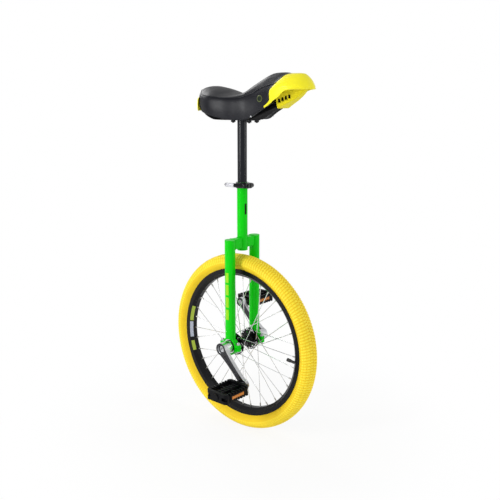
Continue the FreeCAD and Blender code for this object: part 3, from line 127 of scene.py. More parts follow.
class Bench:
    """Adds nodes to one node tree."""

    def __init__(self, tree: NodeTree) -> None:
        """Work on a tree, emptied first."""
        self.tree = tree
        tree.nodes.clear()

    def node(self, kind: str, settings: Mapping[str, Any] | None = None,
             inputs: Mapping[Any, Plug] | None = None) -> Node:
        """Add a node.

        Args:
            kind: The node's type.
            settings: Its properties, set first; "stops" fills a colour ramp.
            inputs: Values or links of its sockets, by name or number.

        Returns:
            The node.
        """
        node = self.tree.nodes.new(kind)
        for name, setting in (settings or {}).items():
            if name == "stops":
                for element, (place, colour) in zip(self._stops(node, len(setting)), setting):
                    element.position, element.color = place, (*colour, 1)
            else:
                setattr(node, name, setting)
        for name, plug in (inputs or {}).items():
            plug = plug.socket if isinstance(plug, Value) else plug
            if isinstance(plug, NodeSocket):
                self.tree.links.new(plug, node.inputs[name])
            else:
                node.inputs[name].default_value = plug
        return node

    def _stops(self, node: Node, count: int) -> Sequence[Any]:
        """The ramp's stops, as many as asked for.

        Args:
            node: The colour ramp.
            count: How many.

        Returns:
            The stops.
        """
        while len(node.color_ramp.elements) < count:
            node.color_ramp.elements.new(1.0)
        return node.color_ramp.elements

    def value(self, kind: str, settings: Mapping[str, Any] | None = None,
              inputs: Mapping[Any, Plug] | None = None, output: Any = 0) -> Value:
        """Add a node, as node does, and wrap one of its outputs."""
        return Value(self, self.node(kind, settings, inputs).outputs[output])

    def mix(self, factor: Plug, low: Plug, high: Plug) -> Value:
        """Blend two colours by a factor."""
        settings = {"data_type": "RGBA", "clamp_factor": True}
        return self.value("ShaderNodeMix", settings, {0: factor, 6: low, 7: high}, 2)

    def noise(self, place: Plug, scale: float, detail: float = 3.0, stretch: Point = (1, 1, 1)) -> Value:
        """Noise from 0 to 1.

        Args:
            place: The coordinates.
            scale: Features per metre.
            detail: Octaves.
            stretch: Factors on the coordinates.

        Returns:
            The noise's value.
        """
        mapped = self.value("ShaderNodeMapping", {}, {"Vector": place, "Scale": stretch})
        inputs = {"Vector": mapped, "Scale": scale, "Detail": detail}
        return self.value("ShaderNodeTexNoise", {}, inputs, "Fac")


class GeometryBench(Bench):
    """Builds a Geometry Nodes tree and turns its result into a plain mesh."""

    def __init__(self) -> None:
        """Start a tree with a geometry input and output."""
        super().__init__(bpy.data.node_groups.new("bench", "GeometryNodeTree"))
        self.sockets: dict[str, str] = {}
        self.defaults: dict[str, Any] = {}
        self.tree.interface.new_socket("Geometry", in_out="OUTPUT", socket_type="NodeSocketGeometry")
        self.tree.interface.new_socket("Geometry", in_out="INPUT", socket_type="NodeSocketGeometry")
        self.start = self.node("NodeGroupInput")

    def size(self, name: str, value: float | int | Sequence[float]) -> Value:
        """A named input of the tree.

        Args:
            name: The input's name.
            value: Its value in this use.

        Returns:
            The input as a value.
        """
        kind = {int: "NodeSocketInt", float: "NodeSocketFloat"}.get(type(value), "NodeSocketVector")
        socket = self.tree.interface.new_socket(name, in_out="INPUT", socket_type=kind)
        self.sockets[name], self.defaults[name] = socket.identifier, value
        return Value(self, self.start.outputs[name])

    def bake(self, host: Mesh, result: Node, smooth: bool = True) -> Mesh:
        """End the tree and run it on a host mesh.

        Args:
            host: The mesh that the tree starts from.
            result: The node that makes the geometry.
            smooth: Whether its faces are smooth shaded.

        Returns:
            The outcome as a plain mesh without materials.
        """
        real = self.node("GeometryNodeRealizeInstances", {}, {0: result.outputs[0]})
        shaded = self.node("GeometryNodeSetShadeSmooth", {}, {0: real.outputs[0], "Shade Smooth": smooth})
        self.node("NodeGroupOutput", {}, {0: shaded.outputs[0]})
        maker = bpy.data.objects.new("maker", host)
        bpy.context.scene.collection.objects.link(maker)
        modifier = maker.modifiers.new("maker", "NODES")
        modifier.node_group = self.tree
        for key, identifier in self.sockets.items():
            modifier[identifier] = self.defaults[key]
        bpy.context.view_layer.update()
        graph = bpy.context.evaluated_depsgraph_get()
        mesh = bpy.data.meshes.new_from_object(maker.evaluated_get(graph))
        mesh.materials.clear()
        bpy.data.objects.remove(maker)
        return mesh


# ---- mesh building ------------------------------------------------------------------------

def link_piece(name: str, mesh: Mesh) -> Object:
    """Put a mesh in the scene as a piece at the origin.

    Args:
        name: The piece's name.
        mesh: Its mesh, which takes that name.

    Returns:
        The piece.
    """
    mesh.name = name
    piece = bpy.data.objects.new(name, mesh)
    bpy.context.scene.collection.objects.link(piece)
    LOG.info("%s: %d faces", name, len(mesh.polygons))
    return piece


def mesh_of(points: Sequence[Vector], faces: Sequence[Sequence[int]], smooth: bool = True,
            mend: bool = True) -> Mesh:
    """A mesh from points and faces, with doubles merged and faces turned outwards.

    Args:
        points: Its corners.
        faces: Corner numbers of each face.
        smooth: Whether its faces are smooth shaded.
        mend: Whether to merge doubles and turn faces outwards.

    Returns:
        The mesh.
    """
    mesh = bpy.data.meshes.new("mesh")
    mesh.from_pydata([tuple(point) for point in points], [], [tuple(face) for face in faces])
    if mend:
        work = bmesh.new()
        work.from_mesh(mesh)
        bmesh.ops.remove_doubles(work, verts=work.verts, dist=1e-6)
        bmesh.ops.dissolve_degenerate(work, edges=work.edges, dist=1e-7)
        bmesh.ops.recalc_face_normals(work, faces=work.faces)
        work.to_mesh(mesh)
        work.free()
    for polygon in mesh.polygons:
        polygon.use_smooth = smooth
    return mesh


def loft(rows: Rows, closed: bool = False, wrapped: bool = False, base: int = 0) -> Faces:
    """Quads between neighbouring rows of points.

    Args:
        rows: Rows with the same number of points.
        closed: Whether each row's last point joins its first.
        wrapped: Whether the last row joins the first.
        base: The first point's number.

    Returns:
        The faces, by point number.
    """
    width = len(rows[0])
    faces = []
    for row in range(len(rows) if wrapped else len(rows) - 1):
        after = (row + 1) % len(rows)
        for column in range(width if closed else width - 1):
            beside = (column + 1) % width
            faces.append((base + row * width + column, base + row * width + beside,
                          base + after * width + beside, base + after * width + column))
    return faces


def surface(rows: Rows, closed: bool = True, wrapped: bool = False, capped: bool = True,
            smooth: bool = False) -> Mesh:
    """The mesh over rows of points.

    Args:
        rows: Rows with the same number of points.
        closed: Whether each row's last point joins its first.
        wrapped: Whether the last row joins the first.
        capped: Whether the first and last rows are filled in.
        smooth: Whether its faces are smooth shaded.

    Returns:
        The mesh.
    """
    width, count = len(rows[0]), len(rows[0]) * len(rows)
    caps = [tuple(range(width)), tuple(range(count - width, count))] if capped else []
    points = [point for row in rows for point in row]
    return mesh_of(points, loft(rows, closed=closed, wrapped=wrapped) + caps, smooth=smooth)


def spaced(first: float, last: float, steps: int) -> list[float]:
    """Evenly spaced values from the first to the last, both of them included."""
    return [first + (last - first) * step / steps for step in range(steps + 1)]


def ring_of(count: int) -> list[Pair]:
    """Cosine and sine of evenly spaced angles.

    Args:
        count: How many.

    Returns:
        The pairs, from angle 0.
    """
    angles = (math.tau * step / count for step in range(count))
    return [(math.cos(angle), math.sin(angle)) for angle in angles]


def lathe(profile: Sequence[Pair], centre: Vector, steps: int) -> Mesh:
    """A closed ring turned about the Y axis.

    Args:
        profile: Closed outline of (across, radius).
        centre: A point on the axis.
        steps: Segments around.

    Returns:
        The mesh.
    """
    rows = [[centre + Vector((radius * cosine, across, radius * sine)) for across, radius in profile]
            for cosine, sine in ring_of(steps)]
    return surface(rows, wrapped=True, capped=False, smooth=True)


def join_meshes(*meshes: Mesh) -> Mesh:
    """One mesh that holds several.

    Args:
        meshes: The meshes, which stay as they are.

    Returns:
        The joined mesh.
    """
    work = bmesh.new()
    for mesh in meshes:
        work.from_mesh(mesh)
    joined = bpy.data.meshes.new("joined")
    work.to_mesh(joined)
    work.free()
    return joined


def finished(name: str, mesh: Mesh, finish: "Finish", body: str, *nodes: str) -> Object:
    """Make a piece of a mesh, let it ride on a body and stand for its nodes.

    Args:
        name: The piece's name.
        mesh: Its mesh.
        finish: What it is made of.
        body: The body that it moves with.
        nodes: The construction nodes that it replaces.

    Returns:
        The piece.
    """
    piece = link_piece(name, mesh)
    mesh.materials.append(finish.material())
    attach(piece, body)
    if nodes:
        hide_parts(*nodes)
    return piece


def middle_of(node: str) -> Vector:
    """The middle of a node's box."""
    low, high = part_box(node)
    return (Vector(low) + Vector(high)) / 2


@dataclass(frozen=True)
class Line:
    """A smooth line of heights over positions, through a few knots."""

    knots: tuple[Pair, ...]

    @property
    def span(self) -> Pair:
        """The positions of the first and the last knot."""
        return self.knots[0][0], self.knots[-1][0]

    def __call__(self, place: float) -> float:
        """The line's height, level beyond both ends.

        Args:
            place: The position.

        Returns:
            The height there.
        """
        knots, (start, end) = self.knots, self.span
        place = min(max(place, start), end)
        for index in range(len(knots) - 1):
            if place <= knots[index + 1][0]:
                break
        (x0, y0), (x1, y1) = knots[index], knots[index + 1]
        span = x1 - x0
        share = (place - x0) / span
        low, high = self._slope(index) * span, self._slope(index + 1) * span
        return (y0 * (1 + 2 * share) * (1 - share) ** 2 + low * share * (1 - share) ** 2
                + y1 * share ** 2 * (3 - 2 * share) + high * share ** 2 * (share - 1))

    def _slope(self, index: int) -> float:
        """The line's slope at a knot, never overshooting its neighbours.

        Args:
            index: The knot's number.

        Returns:
            The slope.
        """
        steps = [(y1 - y0) / (x1 - x0) for (x0, y0), (x1, y1) in zip(self.knots, self.knots[1:])]
        if index in (0, len(steps)):
            return steps[min(index, len(steps) - 1)]
        before, after = steps[index - 1], steps[index]
        return 0.0 if before * after <= 0 else 2 * before * after / (before + after)


# ---- finishes -----------------------------------------------------------------------------

class Grain(Enum):
    """What a surface looks like up close."""

    PEEL = "sprayed paint"
    MOULDED = "moulded plastic"
    BRUSHED = "metal rubbed along its length"
    TURNED = "metal turned on a lathe"
    LEATHER = "grained cover"
    RUBBER = "moulded rubber"
    PRISMS = "reflector prisms"


@dataclass(frozen=True)
class Finish:
    """A material: its colour and gloss, and the grain that breaks them up."""

    name: str
    colour: Colour
    rough: float = 0.5
    metal: float = 0.0
    coat: float = 0.0
    grain: Grain = Grain.MOULDED
    depth: float = 0.05
    unevenness: float = 0.12
    specular: float = 0.5

    def material(self) -> Material:
        """The material, made once."""
        return bpy.data.materials.get(f"visual_{self.name}") or self._make()

    def _make(self) -> Material:
        """Build the node tree.

        Returns:
            The material.
        """
        material = bpy.data.materials.new(f"visual_{self.name}")
        material.use_nodes = True
        bench = Bench(material.node_tree)
        place = bench.value("ShaderNodeTexCoord", {}, {}, "Object")
        height = self._height(bench, place)
        tone = bench.noise(place, 14, 4)
        colour = self._colour(bench, place, tone)
        rough = self.rough + (bench.noise(place, 55, 3) - 0.5) * self.unevenness * 1.6
        bump = bench.node("ShaderNodeBump", {}, {
            "Strength": 0.7, "Distance": self.depth * MM, "Height": height})
        head_on = math.sqrt(0.08 * self.specular)
        shader = bench.node("ShaderNodeBsdfPrincipled", {}, {
            "Base Color": colour, "Roughness": rough, "Metallic": self.metal, "Coat Weight": self.coat,
            "Coat Roughness": 0.12, "IOR": (1 + head_on) / (1 - head_on), "Normal": bump.outputs[0]})
        bench.node("ShaderNodeOutputMaterial", {}, {"Surface": shader.outputs[0]})
        return material

    def _shades(self, bench: Bench, factor: Plug) -> Value:
        """The finish's colour, a little darker or lighter.

        Args:
            bench: The tree.
            factor: 0 for the darkest shade, 1 for the lightest.

        Returns:
            The colour.
        """
        dark = (*(part * (1 - self.unevenness) for part in self.colour), 1)
        light = (*(min(part * (1 + self.unevenness / 2), 1) for part in self.colour), 1)
        return bench.mix(factor, dark, light)

    def _colour(self, bench: Bench, place: Value, tone: Value) -> Value:
        """Base colour with its variation, from the coordinates and a tone of 0 to 1."""
        return self._shades(bench, tone.ramp(0.3, 0.7))

    def _height(self, bench: Bench, place: Value) -> Value:
        """The relief of the grain.

        Args:
            bench: The tree.
            place: The coordinates.

        Returns:
            The height.
        """
        if self.grain is Grain.PEEL:
            return bench.noise(place, 420, 2)
        if self.grain is Grain.BRUSHED:
            return bench.noise(place, 900, 2, (1, 1, 0.04))
        if self.grain is Grain.TURNED:
            return bench.noise(place, 1500, 2, (0.15, 1, 0.15))
        if self.grain is Grain.LEATHER:
            cells = bench.value("ShaderNodeTexVoronoi", {"feature": "SMOOTH_F1"},
                                {"Vector": place, "Scale": 520.0})
            return cells * 0.8 + bench.noise(place, 1200, 2) * 0.3
        if self.grain is Grain.PRISMS:
            cells = bench.value("ShaderNodeTexVoronoi", {"feature": "F1", "distance": "CHEBYCHEV"},
                                {"Vector": place, "Scale": 380.0, "Randomness": 0.0})
            return 1 - cells
        if self.grain is Grain.RUBBER:
            return bench.noise(place, 700, 3) * 0.7 + bench.noise(place, 120, 2) * 0.5
        return bench.noise(place, 1400, 3) * 0.6 + bench.noise(place, 300, 2) * 0.4


GREEN = Finish("green_powder_coat", (0.0008, 0.60, 0.003), 0.26, coat=0.08, grain=Grain.PEEL, depth=0.03,
               unevenness=0.06, specular=0.12)
ZINC = Finish("zinc_bolts", (0.56, 0.57, 0.58), 0.32, 1.0, grain=Grain.TURNED)
BLACK_BOLT = Finish("blackened_bolts", (0.02, 0.02, 0.022), 0.35, 0.6, grain=Grain.TURNED)
RACE = Finish("ground_steel", (0.62, 0.63, 0.64), 0.2, 1.0, grain=Grain.TURNED, depth=0.01)
SEAL = Finish("seal_rubber", (0.02, 0.02, 0.02), 0.6, grain=Grain.RUBBER)
ANODISED = Finish("black_anodised", (0.003, 0.003, 0.004), 0.28, grain=Grain.TURNED, depth=0.02, specular=0.2)
GLOSS_BLACK = Finish("gloss_black_clamp", (0.006, 0.006, 0.007), 0.12, coat=0.8, depth=0.01)
POLISHED = Finish("polished_alloy", (0.72, 0.72, 0.74), 0.18, 1.0, grain=Grain.BRUSHED, depth=0.01)
# The casing's rubber is a deeper, more orange copy of the tread's: painted shade for the grooves between the
# ribs.
TYRE = Finish("yellow_tyre_rubber_groove_shade", (0.88, 0.60, 0.02), 0.6, grain=Grain.RUBBER, depth=0.1, unevenness=0.05,
              specular=0.15)
TREAD = Finish("yellow_tread_rubber", (0.97, 0.78, 0.05), 0.55, grain=Grain.RUBBER, depth=0.1,
               unevenness=0.05, specular=0.2)
TUBE = Finish("tube_rubber", (0.03, 0.03, 0.03), 0.5, grain=Grain.RUBBER)
TAPE = Finish("tape_vinyl", (0.55, 0.06, 0.05), 0.5)
SPOKE = Finish("spoke_wire", (0.86, 0.87, 0.88), 0.25, 1.0, grain=Grain.TURNED, depth=0.005)
NIPPLE = Finish("nickel_nipples", (0.66, 0.65, 0.62), 0.28, 1.0, grain=Grain.TURNED, depth=0.01)
AXLE = Finish("axle_steel", (0.42, 0.42, 0.43), 0.3, 1.0, grain=Grain.TURNED, depth=0.02)
PEDAL = Finish("pedal_plastic", (0.002, 0.002, 0.003), 0.42, depth=0.08, specular=0.12)
BUSH = Finish("bush_nylon", (0.75, 0.74, 0.70), 0.45)
AMBER = Finish("amber_reflector", (0.62, 0.20, 0.012), 0.2, coat=0.4, grain=Grain.PRISMS, depth=0.5,
               specular=0.3)
POST = Finish("gloss_black_tube", (0.006, 0.007, 0.011), 0.16, grain=Grain.PEEL, depth=0.01, specular=0.3)
COVER = Finish("grained_black_cover", (0.0025, 0.003, 0.007), 0.40, grain=Grain.LEATHER, depth=0.06,
               specular=0.27)
BASE = Finish("base_plastic", (0.0015, 0.0015, 0.002), 0.6, depth=0.1, specular=0.04)
LEMON = Finish("yellow_bumper_plastic", (0.95, 0.86, 0.02), 0.34, coat=0.1, depth=0.02, unevenness=0.03,
               specular=0.2)
# A darker copy of the bumper yellow: painted shade for the web under the nose cap.
SHADED_LEMON = Finish("painted_shade_yellow_plastic", (0.80, 0.69, 0.012), 0.42, depth=0.02, unevenness=0.04,
                      specular=0.1)
LIME_BAR = Finish("lime_film", (0.34, 0.44, 0.04), 0.3, unevenness=0.05, specular=0.4)
SILVER_BAR = Finish("silver_film", (0.42, 0.45, 0.54), 0.28, 0.4, unevenness=0.05)
BRIGHT_BAR = Finish("bright_lime_film", (0.30, 0.66, 0.01), 0.3, unevenness=0.05, specular=0.2)
BLACK_BAR = Finish("black_film", (0.004, 0.006, 0.003), 0.4, unevenness=0.05, specular=0.1)
BADGE = Finish("olive_badge_ring", (0.10, 0.12, 0.045), 0.35, unevenness=0.05, specular=0.2)
BADGE_MIDDLE = Finish("dark_badge_middle", (0.012, 0.020, 0.012), 0.3, unevenness=0.05, specular=0.2)


@dataclass(frozen=True)
class ForgedAlloy(Finish):
    """Forged alloy with bright sides, and a painted dark reflection on its flat faces."""

    # The colour of the painted dark reflection on the flat faces.
    face: Colour = (0.055, 0.055, 0.06)

    def _colour(self, bench: Bench, place: Value, tone: Value) -> Value:
        """A painted dark reflection where the surface faces outwards along the axle.

        Args:
            bench: The tree.
            place: The coordinates; not used.
            tone: A slow variation from 0 to 1.

        Returns:
            The colour.
        """
        normal = bench.value("ShaderNodeTexCoord", {}, {}, "Normal")
        across = bench.value("ShaderNodeSeparateXYZ", {}, {0: normal}, "Y")
        # Faces that point along the axle get the painted dark reflection.
        return bench.mix(abs(across).ramp(0.75, 0.95), self._shades(bench, tone), (*self.face, 1))


CRANK = ForgedAlloy("forged_crank", (0.80, 0.81, 0.83), 0.3, 1.0, grain=Grain.BRUSHED, depth=0.02)

DRESS: dict[Finish, tuple[str, ...]] = {
    GREEN: ("seat_tube", "right_crown_bar", "left_crown_bar", "right_fork_leg", "left_fork_leg",
            "right_bearing_holder", "left_bearing_holder", "right_bearing_cap", "left_bearing_cap"),
    ZINC: ("bearing_cap_bolts", "bearing_cap_nuts", "crank_bolts"),
    BLACK_BOLT: ("saddle_studs", "saddle_nuts"),
    RACE: ("right_bearing_outer_ring", "left_bearing_outer_ring", "bearing_inner_rings"),
    SEAL: ("bearing_seals", "valve_stem", "valve_cap"),
    ANODISED: ("rim", "hub_shell"),
    GLOSS_BLACK: ("clamp_collar", "clamp_nut"),
    POLISHED: ("clamp_skewer",),
    TUBE: ("inner_tube", "clamp_washer"),
    TAPE: ("rim_tape",),
    SPOKE: ("right_spokes", "left_spokes"),
    NIPPLE: ("nipples",),
    AXLE: ("axle", "axle_spacers", "right_pedal_spindle", "left_pedal_spindle"),
    CRANK: ("right_crank", "left_crank"),
    PEDAL: ("right_pedal_body", "left_pedal_body", "right_pedal_cap", "left_pedal_cap"),
    BUSH: ("right_pedal_bushes", "left_pedal_bushes"),
    AMBER: ("right_pedal_reflectors", "left_pedal_reflectors"),
    POST: ("seat_post", "seat_post_head"),
}


def dress_nodes() -> None:
    """Give every carried-over node its material."""
    for finish, names in DRESS.items():
        for name in names:
            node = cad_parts[name]
            node.data.materials.clear()
            node.data.materials.append(finish.material())


# ---- shells, padding and paths ------------------------------------------------------------

def thicken(mesh: Mesh, depth: float) -> Mesh:
    """Give an open skin a wall on its inner side, closed along its edges.

    Args:
        mesh: A skin that bulges away from its middle.
        depth: The wall in metres.

    Returns:
        The same mesh, now closed.
    """
    work = bmesh.new()
    work.from_mesh(mesh)
    middle = sum((vert.co for vert in work.verts), Vector()) / len(work.verts)
    if sum(face.normal.dot(face.calc_center_median() - middle) * face.calc_area() for face in work.faces) < 0:
        bmesh.ops.reverse_faces(work, faces=work.faces)
    work.normal_update()
    outer_faces, outer_edges = list(work.faces), [edge for edge in work.edges if edge.is_boundary]
    inner = {vert: work.verts.new(vert.co - vert.normal * depth) for vert in list(work.verts)}
    for face in outer_faces:
        work.faces.new([inner[vert] for vert in reversed(face.verts)])
    for edge in outer_edges:
        loop = edge.link_loops[0]
        first, second = loop.vert, loop.link_loop_next.vert
        work.faces.new((second, first, inner[first], inner[second]))
    work.to_mesh(mesh)
    work.free()
    for polygon in mesh.polygons:
        polygon.use_smooth = True
    return mesh


def smoothed(mesh: Mesh) -> Mesh:
    """The mesh after one round of a subdivision surface.

    Args:
        mesh: The mesh to smooth.

    Returns:
        A new mesh.
    """
    carrier = bpy.data.objects.new("carrier", mesh)
    bpy.context.scene.collection.objects.link(carrier)
    modifier = carrier.modifiers.new("smooth", "SUBSURF")
    modifier.levels = modifier.render_levels = 1
    graph = bpy.context.evaluated_depsgraph_get()
    result = bpy.data.meshes.new_from_object(carrier.evaluated_get(graph))
    bpy.data.objects.remove(carrier)
    return result


def inflated(mesh: Mesh, is_held: Callable[[Vector], bool], most: float) -> Mesh:
    """Blow a closed mesh up as a padded cover, with some of its points held.

    Args:
        mesh: The closed mesh, a little smaller than the padded piece.
        is_held: Whether a point stays where it is.
        most: How far a point may move, in metres.

    Returns:
        The mesh with its points moved.
    """
    pad = bpy.data.objects.new("pad", mesh)
    scene = bpy.context.scene
    scene.collection.objects.link(pad)
    held = pad.vertex_groups.new(name="held")
    start = [vert.co.copy() for vert in mesh.vertices]
    held.add([index for index, place in enumerate(start) if is_held(place)], 1.0, "REPLACE")
    cloth = pad.modifiers.new("cover", "CLOTH")
    settings = cloth.settings
    settings.quality, settings.mass = 5, 0.3
    settings.tension_stiffness = settings.compression_stiffness = 8
    settings.shear_stiffness, settings.bending_stiffness = 4, 2
    settings.use_pressure, settings.uniform_pressure_force = True, 4
    settings.vertex_group_mass = "held"
    settings.effector_weights.gravity = 0
    cloth.collision_settings.use_collision = False
    cloth.point_cache.frame_start, cloth.point_cache.frame_end = 1, CLOTH_FRAMES
    for number in range(1, CLOTH_FRAMES + 1):
        scene.frame_set(number)
    grown = pad.evaluated_get(bpy.context.evaluated_depsgraph_get())
    reached = [vert.co.copy() for vert in grown.data.vertices]
    pad.modifiers.remove(cloth)
    bpy.data.objects.remove(pad)
    scene.frame_set(1)
    for vert, first, last in zip(mesh.vertices, start, reached):
        move = last - first
        vert.co = first + move * min(1.0, most / max(move.length, 1e-9))
    return mesh


def path_mesh(lines: Rows) -> Mesh:
    """Open lines of points, as a mesh of edges for a tree to follow.

    Args:
        lines: The lines of points.

    Returns:
        The mesh.
    """
    mesh = bpy.data.meshes.new("path")
    points, edges = [], []
    for line in lines:
        edges += [(len(points) + index, len(points) + index + 1) for index in range(len(line) - 1)]
        points += [tuple(point) for point in line]
    mesh.from_pydata(points, edges, [])
    return mesh


def nearest_on(mesh: Mesh, points: Sequence[Vector]) -> list[tuple[Vector, Vector]]:
    """Where a surface comes nearest to each of some points.

    Args:
        mesh: The surface.
        points: Points near it.

    Returns:
        For each, the place on the surface and the direction that points outwards there.
    """
    work = bmesh.new()
    work.from_mesh(mesh)
    tree = BVHTree.FromBMesh(work)
    found = [tree.find_nearest(point) for point in points]
    work.free()
    return [(place, normal) for place, normal, _, _ in found]


def laid_on(mesh: Mesh, line: Sequence[Vector], lift: float) -> list[Vector]:
    """A line of points moved to a height in metres off a surface."""
    return [place + normal * lift for place, normal in nearest_on(mesh, line)]


def tube_along(lines: Rows, radius: float, sides: int = 8) -> Mesh:
    """A round bead that follows lines, such as piping.

    Args:
        lines: The lines of points that it follows.
        radius: Its radius in metres.
        sides: Its sides.

    Returns:
        The mesh.
    """
    bench = GeometryBench()
    round_line = bench.node("GeometryNodeCurvePrimitiveCircle", {}, {
        "Resolution": bench.size("Sides", sides), "Radius": bench.size("Radius", radius)})
    path = bench.node("GeometryNodeMeshToCurve", {}, {0: bench.start.outputs[0]})
    bead = bench.node("GeometryNodeCurveToMesh", {}, {
        "Curve": path.outputs[0], "Profile Curve": round_line.outputs[0], "Fill Caps": True})
    return bench.bake(path_mesh(lines), bead)


def strewn_along(lines: Rows, pitch: float, half_size: Point) -> Mesh:
    """Small rounded grains at an even pitch along lines, such as stitches or the ripples of a weld.

    Args:
        lines: The lines of points that they follow.
        pitch: The distance between them in metres.
        half_size: Half their length, width and height in metres.

    Returns:
        The mesh.
    """
    bench = GeometryBench()
    path = bench.node("GeometryNodeMeshToCurve", {}, {0: bench.start.outputs[0]})
    places = bench.node("GeometryNodeResampleCurve", {"mode": "LENGTH"}, {
        "Curve": path.outputs[0], "Length": bench.size("Pitch", pitch)})
    along = bench.node("GeometryNodeInputTangent")
    turn = bench.node("FunctionNodeAlignRotationToVector", {"axis": "X"}, {"Vector": along.outputs[0]})
    grain = bench.node("GeometryNodeMeshUVSphere", {}, {"Segments": 6, "Rings": 4, "Radius": 1.0})
    laid = bench.node("GeometryNodeInstanceOnPoints", {}, {
        "Points": places.outputs[0], "Instance": grain.outputs[0], "Rotation": turn.outputs[0],
        "Scale": bench.size("Half size", half_size)})
    return bench.bake(path_mesh(lines), laid)


# ---- outlines -----------------------------------------------------------------------------

@dataclass(frozen=True)
class Outline:
    """A smooth line in a plane through a few knots, in mm.

    The saddle's outlines are one side of its plan, from the back tip to the front tip.
    """

    knots: tuple[Pair, ...]

    def _reach(self) -> list[float]:
        """Distance along the outline at each knot.

        Returns:
            The distances, from 0.
        """
        reach = [0.0]
        for (x0, y0), (x1, y1) in zip(self.knots, self.knots[1:]):
            reach.append(reach[-1] + math.hypot(x1 - x0, y1 - y0))
        return reach

    def length(self) -> float:
        """The outline's length."""
        return self._reach()[-1]

    def at(self, distance: float) -> tuple[Vector, Vector]:
        """A place on the outline.

        Args:
            distance: How far along it.

        Returns:
            The point, and the direction that points outwards there.
        """
        reach = self._reach()
        along = Line(tuple(zip(reach, (x for x, _ in self.knots))))
        across = Line(tuple(zip(reach, (y for _, y in self.knots))))
        step = 0.5
        before, after = max(distance - step, 0), min(distance + step, reach[-1])
        way = Vector((along(after) - along(before), across(after) - across(before))).normalized()
        if distance <= 0 or distance >= reach[-1]:
            way = Vector((0, 1 if distance <= 0 else -1))
        return Vector((along(distance), across(distance))), Vector((-way.y, way.x))

    def distance_to(self, x: float) -> float:
        """How far along the outline a place lies, found by halving, where x grows along it.

        Args:
            x: The place.

        Returns:
            The distance.
        """
        low, high = 0.0, self.length()
        for _ in range(30):
            middle = (low + high) / 2
            low, high = (middle, high) if self.at(middle)[0].x < x else (low, middle)
        return low


def inside(at: Vector, out: Vector, depth: float, height: float) -> Vector:
    """A point inside an outline, not past the middle line.

    Args:
        at: A place on the outline.
        out: The direction that points outwards there.
        depth: How far inside the point lies.
        height: The point's height.

    Returns:
        The point.
    """
    plan = at - out * depth
    return Vector((plan.x, max(plan.y, 0.0), height))


# ---- saddle -------------------------------------------------------------------------------

PLAN = Outline(((-126, 0), (-125.4, 12), (-121, 30), (-105, 56), (-79, 73), (-50, 80), (-12, 73), (22, 60),
                (53, 50), (93, 46), (124, 47.5), (150, 50), (180, 48), (200, 40), (213, 27), (219.5, 14),
                (221.6, 6), (222, 0)))
EDGE = Line(((-126, 30), (-98, 28), (-82, 21), (-55, 15), (-34, 10), (-18, 6.5), (0, 3), (20, 1.5), (40, 1),
             (60, 4), (70, 10), (88, 21), (106, 31), (124, 40), (142, 50), (161, 61), (179, 76), (197, 79),
             (222, 80)))
SHOULDER = Line(((-126, 82), (-115, 78), (-102, 70), (-71, 64), (-20, 60), (10, 58), (30, 57), (52, 62),
                 (75, 70), (95, 79), (120, 87), (142, 93), (163, 101), (185, 104), (211, 104), (222, 102)))
CROWN = Line(((-118, 87), (-109, 88), (-88, 88), (-64, 84), (-53, 81), (-42, 77.5), (-20, 69), (0, 65),
              (19, 67), (32, 73), (44, 79), (63, 92), (84, 103), (106, 114), (123, 119), (150, 119.5),
              (167, 117), (187, 117), (207, 114), (222, 108)))
MIDDLE = Line(((-126, -100), (-53, -50), (0, 6), (60, 78), (95, 124), (124, 168), (178, 186), (222, 196)))
LEAN = Line(((60, 0), (100, 12), (131, 21), (160, 18), (200, 8), (222, 0)))
CORNER = Line(((-126, 6), (40, 7), (90, 14), (124, 20), (222, 18)))


@dataclass(frozen=True)
class Skin:
    """A surface that climbs from a plan outline, over a rounded shoulder, to the middle line.

    Heights are in mm over the top of the seat post.
    """

    outline: Outline
    inset: Line
    top_steps: int = 13
    wall_steps: int = 9
    fullness: float = 2.2
    most_lead: float = 0.9
    bend: tuple[float, ...] = (0, 0.25, 0.5, 0.75)
    edge: Line = EDGE
    shoulder: Line = SHOULDER
    crown: Line = CROWN
    middle: Line = MIDDLE
    lean: Line = LEAN
    corner: Line = CORNER

    def row(self, distance: float) -> list[Vector]:
        """The points from the lower edge up to the middle line.

        Args:
            distance: Where the row starts along the outline.

        Returns:
            The points, in mm.
        """
        at = self.outline.at(distance)[0]
        low, high = self._levels(distance)
        corner = self.corner(at.x)
        target = Vector((self.middle(at.x), 0))
        top = self.crown(target.x)
        turn = 1 - corner / (high - low)
        wall = [self._wall(distance, share) for share in spaced(0, turn, self.wall_steps)[:-1]]
        start, control = self._wall(distance, turn), self._wall(distance, 1.0)
        rest = target - control.xy
        lead = min(corner / max(rest.length, 1e-6), self.most_lead)

        def over(share: float) -> Vector:
            """A point of the top, from the shoulder at 0 to the middle line at 1."""
            plan = control.xy + rest * share
            return Vector((plan.x, plan.y, high + (top - high) * (1 - max(1 - share, 0.0) ** self.fullness)))

        end = over(lead)
        bend = [start.lerp(control, part).lerp(control.lerp(end, part), part) for part in self.bend]
        return wall + bend + [over(share) for share in spaced(lead, 1, self.top_steps)]

    def _levels(self, distance: float) -> Pair:
        """The heights of the row's lower edge and shoulder."""
        at = self.outline.at(distance)[0]
        return self.edge(at.x), self.shoulder(self.outline.at(distance + self.lean(at.x))[0].x)

    def _wall(self, distance: float, share: float) -> Vector:
        """A point of the side wall, which leans forward over its upper half.

        Args:
            distance: Where the row starts along the outline.
            share: How high up the wall it lies, from 0 to 1.

        Returns:
            The point, in mm.
        """
        low, high = self._levels(distance)
        slip = self.lean(self.outline.at(distance)[0].x) * (max(share - 0.5, 0.0) / 0.5) ** 2
        return inside(*self.outline.at(distance + slip), self.inset(share), low + (high - low) * share)

    @property
    def seam(self) -> int:
        """The number of the row's point in the middle of its shoulder."""
        return self.wall_steps + 2


